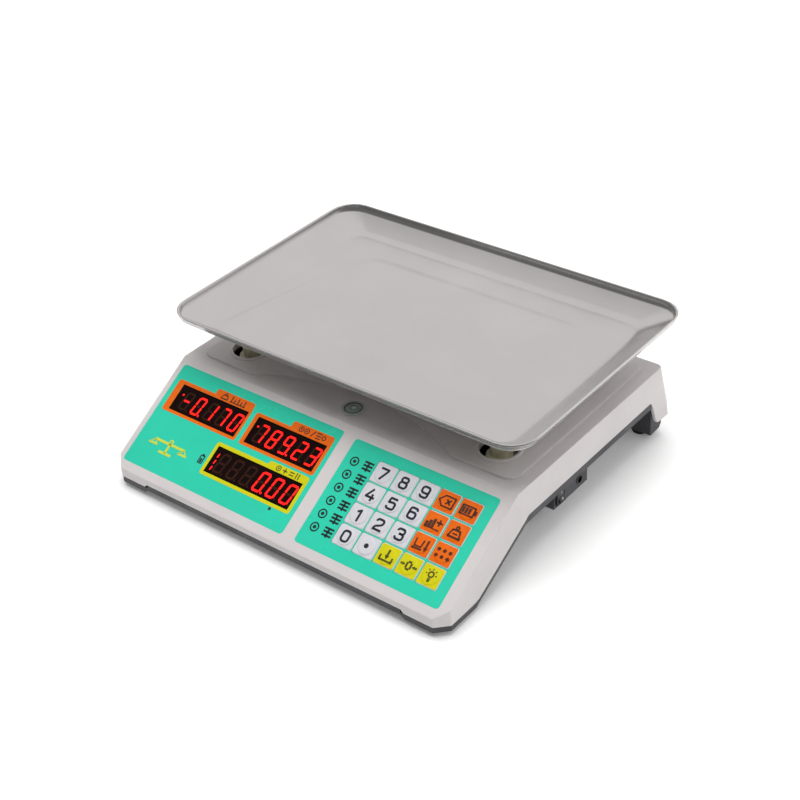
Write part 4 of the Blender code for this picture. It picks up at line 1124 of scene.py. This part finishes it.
def build_light():
    """A room that is bright at the back and dark in front, a pale backdrop, and three soft lamps."""
    world = bpy.data.worlds.new("studio_air")
    world.use_nodes = True
    tree = world.node_tree
    place = add_node(tree, "TexCoord")
    away = add_node(tree, "VectorMath", operation="DOT_PRODUCT")
    away.inputs[1].default_value = Vector((-0.10, 0.77, 0.63)).normalized()
    wire(tree, place, "Generated", away, 0)
    ramp = add_node(tree, "ValToRGB")
    part = spread(tree, away.outputs["Value"], -1.0, 1.0)
    wire(tree, part, "Result", ramp, "Fac")
    stops = ((0.33, (0.15, 0.15, 0.15)), (0.55, (0.20, 0.20, 0.195)), (0.68, (0.53, 0.525, 0.52)),
             (0.82, (0.71, 0.70, 0.695)), (1.0, (0.74, 0.73, 0.725)))
    while len(ramp.color_ramp.elements) < len(stops):
        ramp.color_ramp.elements.new(0.5)
    for element, (where, colour) in zip(ramp.color_ramp.elements, stops):
        element.position = where
        element.color = (*colour, 1.0)
    backdrop = add_node(tree, "Mix", data_type="RGBA")
    seen = add_node(tree, "LightPath")
    wire(tree, seen, "Is Camera Ray", backdrop, "Factor")
    sides = [socket for socket in backdrop.inputs if socket.type == "RGBA"]
    tree.links.new(ramp.outputs["Color"], sides[0])
    sides[1].default_value = (0.96, 0.96, 0.96, 1.0)
    result = [socket for socket in backdrop.outputs if socket.type == "RGBA"][0]
    tree.links.new(result, tree.nodes["Background"].inputs["Color"])
    bpy.context.scene.world = world
    add_lamp("top_softbox", (-0.1, 0.05, 2.4), (0, 0, 0), (1.9, 1.9), 44.5)
    add_lamp("front_softbox", (-0.3, -1.5, 2.4), (0, 0, 0.05), (2.4, 1.0), 1.0)
    add_lamp("side_softbox", (1.9, 0.2, 1.7), (0, 0, 0.05), (1.8, 1.0), 8.0)


def build_camera():
    """The camera stands to the right of the shopkeeper and looks down on the scale."""
    level = math.cos(CAMERA_RISE)
    back = Vector((math.sin(CAMERA_TURN) * level, -math.cos(CAMERA_TURN) * level, math.sin(CAMERA_RISE)))
    right = (-back).cross(Vector((0, 0, 1))).normalized()
    up = right.cross(-back)
    rolled_right = right * math.cos(CAMERA_ROLL) + up * math.sin(CAMERA_ROLL)
    rolled_up = up * math.cos(CAMERA_ROLL) - right * math.sin(CAMERA_ROLL)
    data = bpy.data.cameras.new("camera")
    data.lens = 70.37
    data.sensor_width = 36.0
    data.clip_start = 0.05
    camera = bpy.data.objects.new("camera", data)
    bpy.context.scene.collection.objects.link(camera)
    camera.matrix_world = Matrix.Translation(CAMERA_PLACE) @ Matrix(
        (rolled_right, rolled_up, back)).transposed().to_4x4()
    bpy.context.scene.camera = camera


build_camera()
build_light()
build_floor()
finish_frame_nodes()
build_pan()
build_front_figures()
build_rear_figures()
build_surrounds()
build_label_print()
build_key_lattice()
build_keys()
build_level()
build_switch_marks()
bpy.context.scene.view_settings.view_transform = "Standard"
bpy.context.scene.view_settings.look = "None"
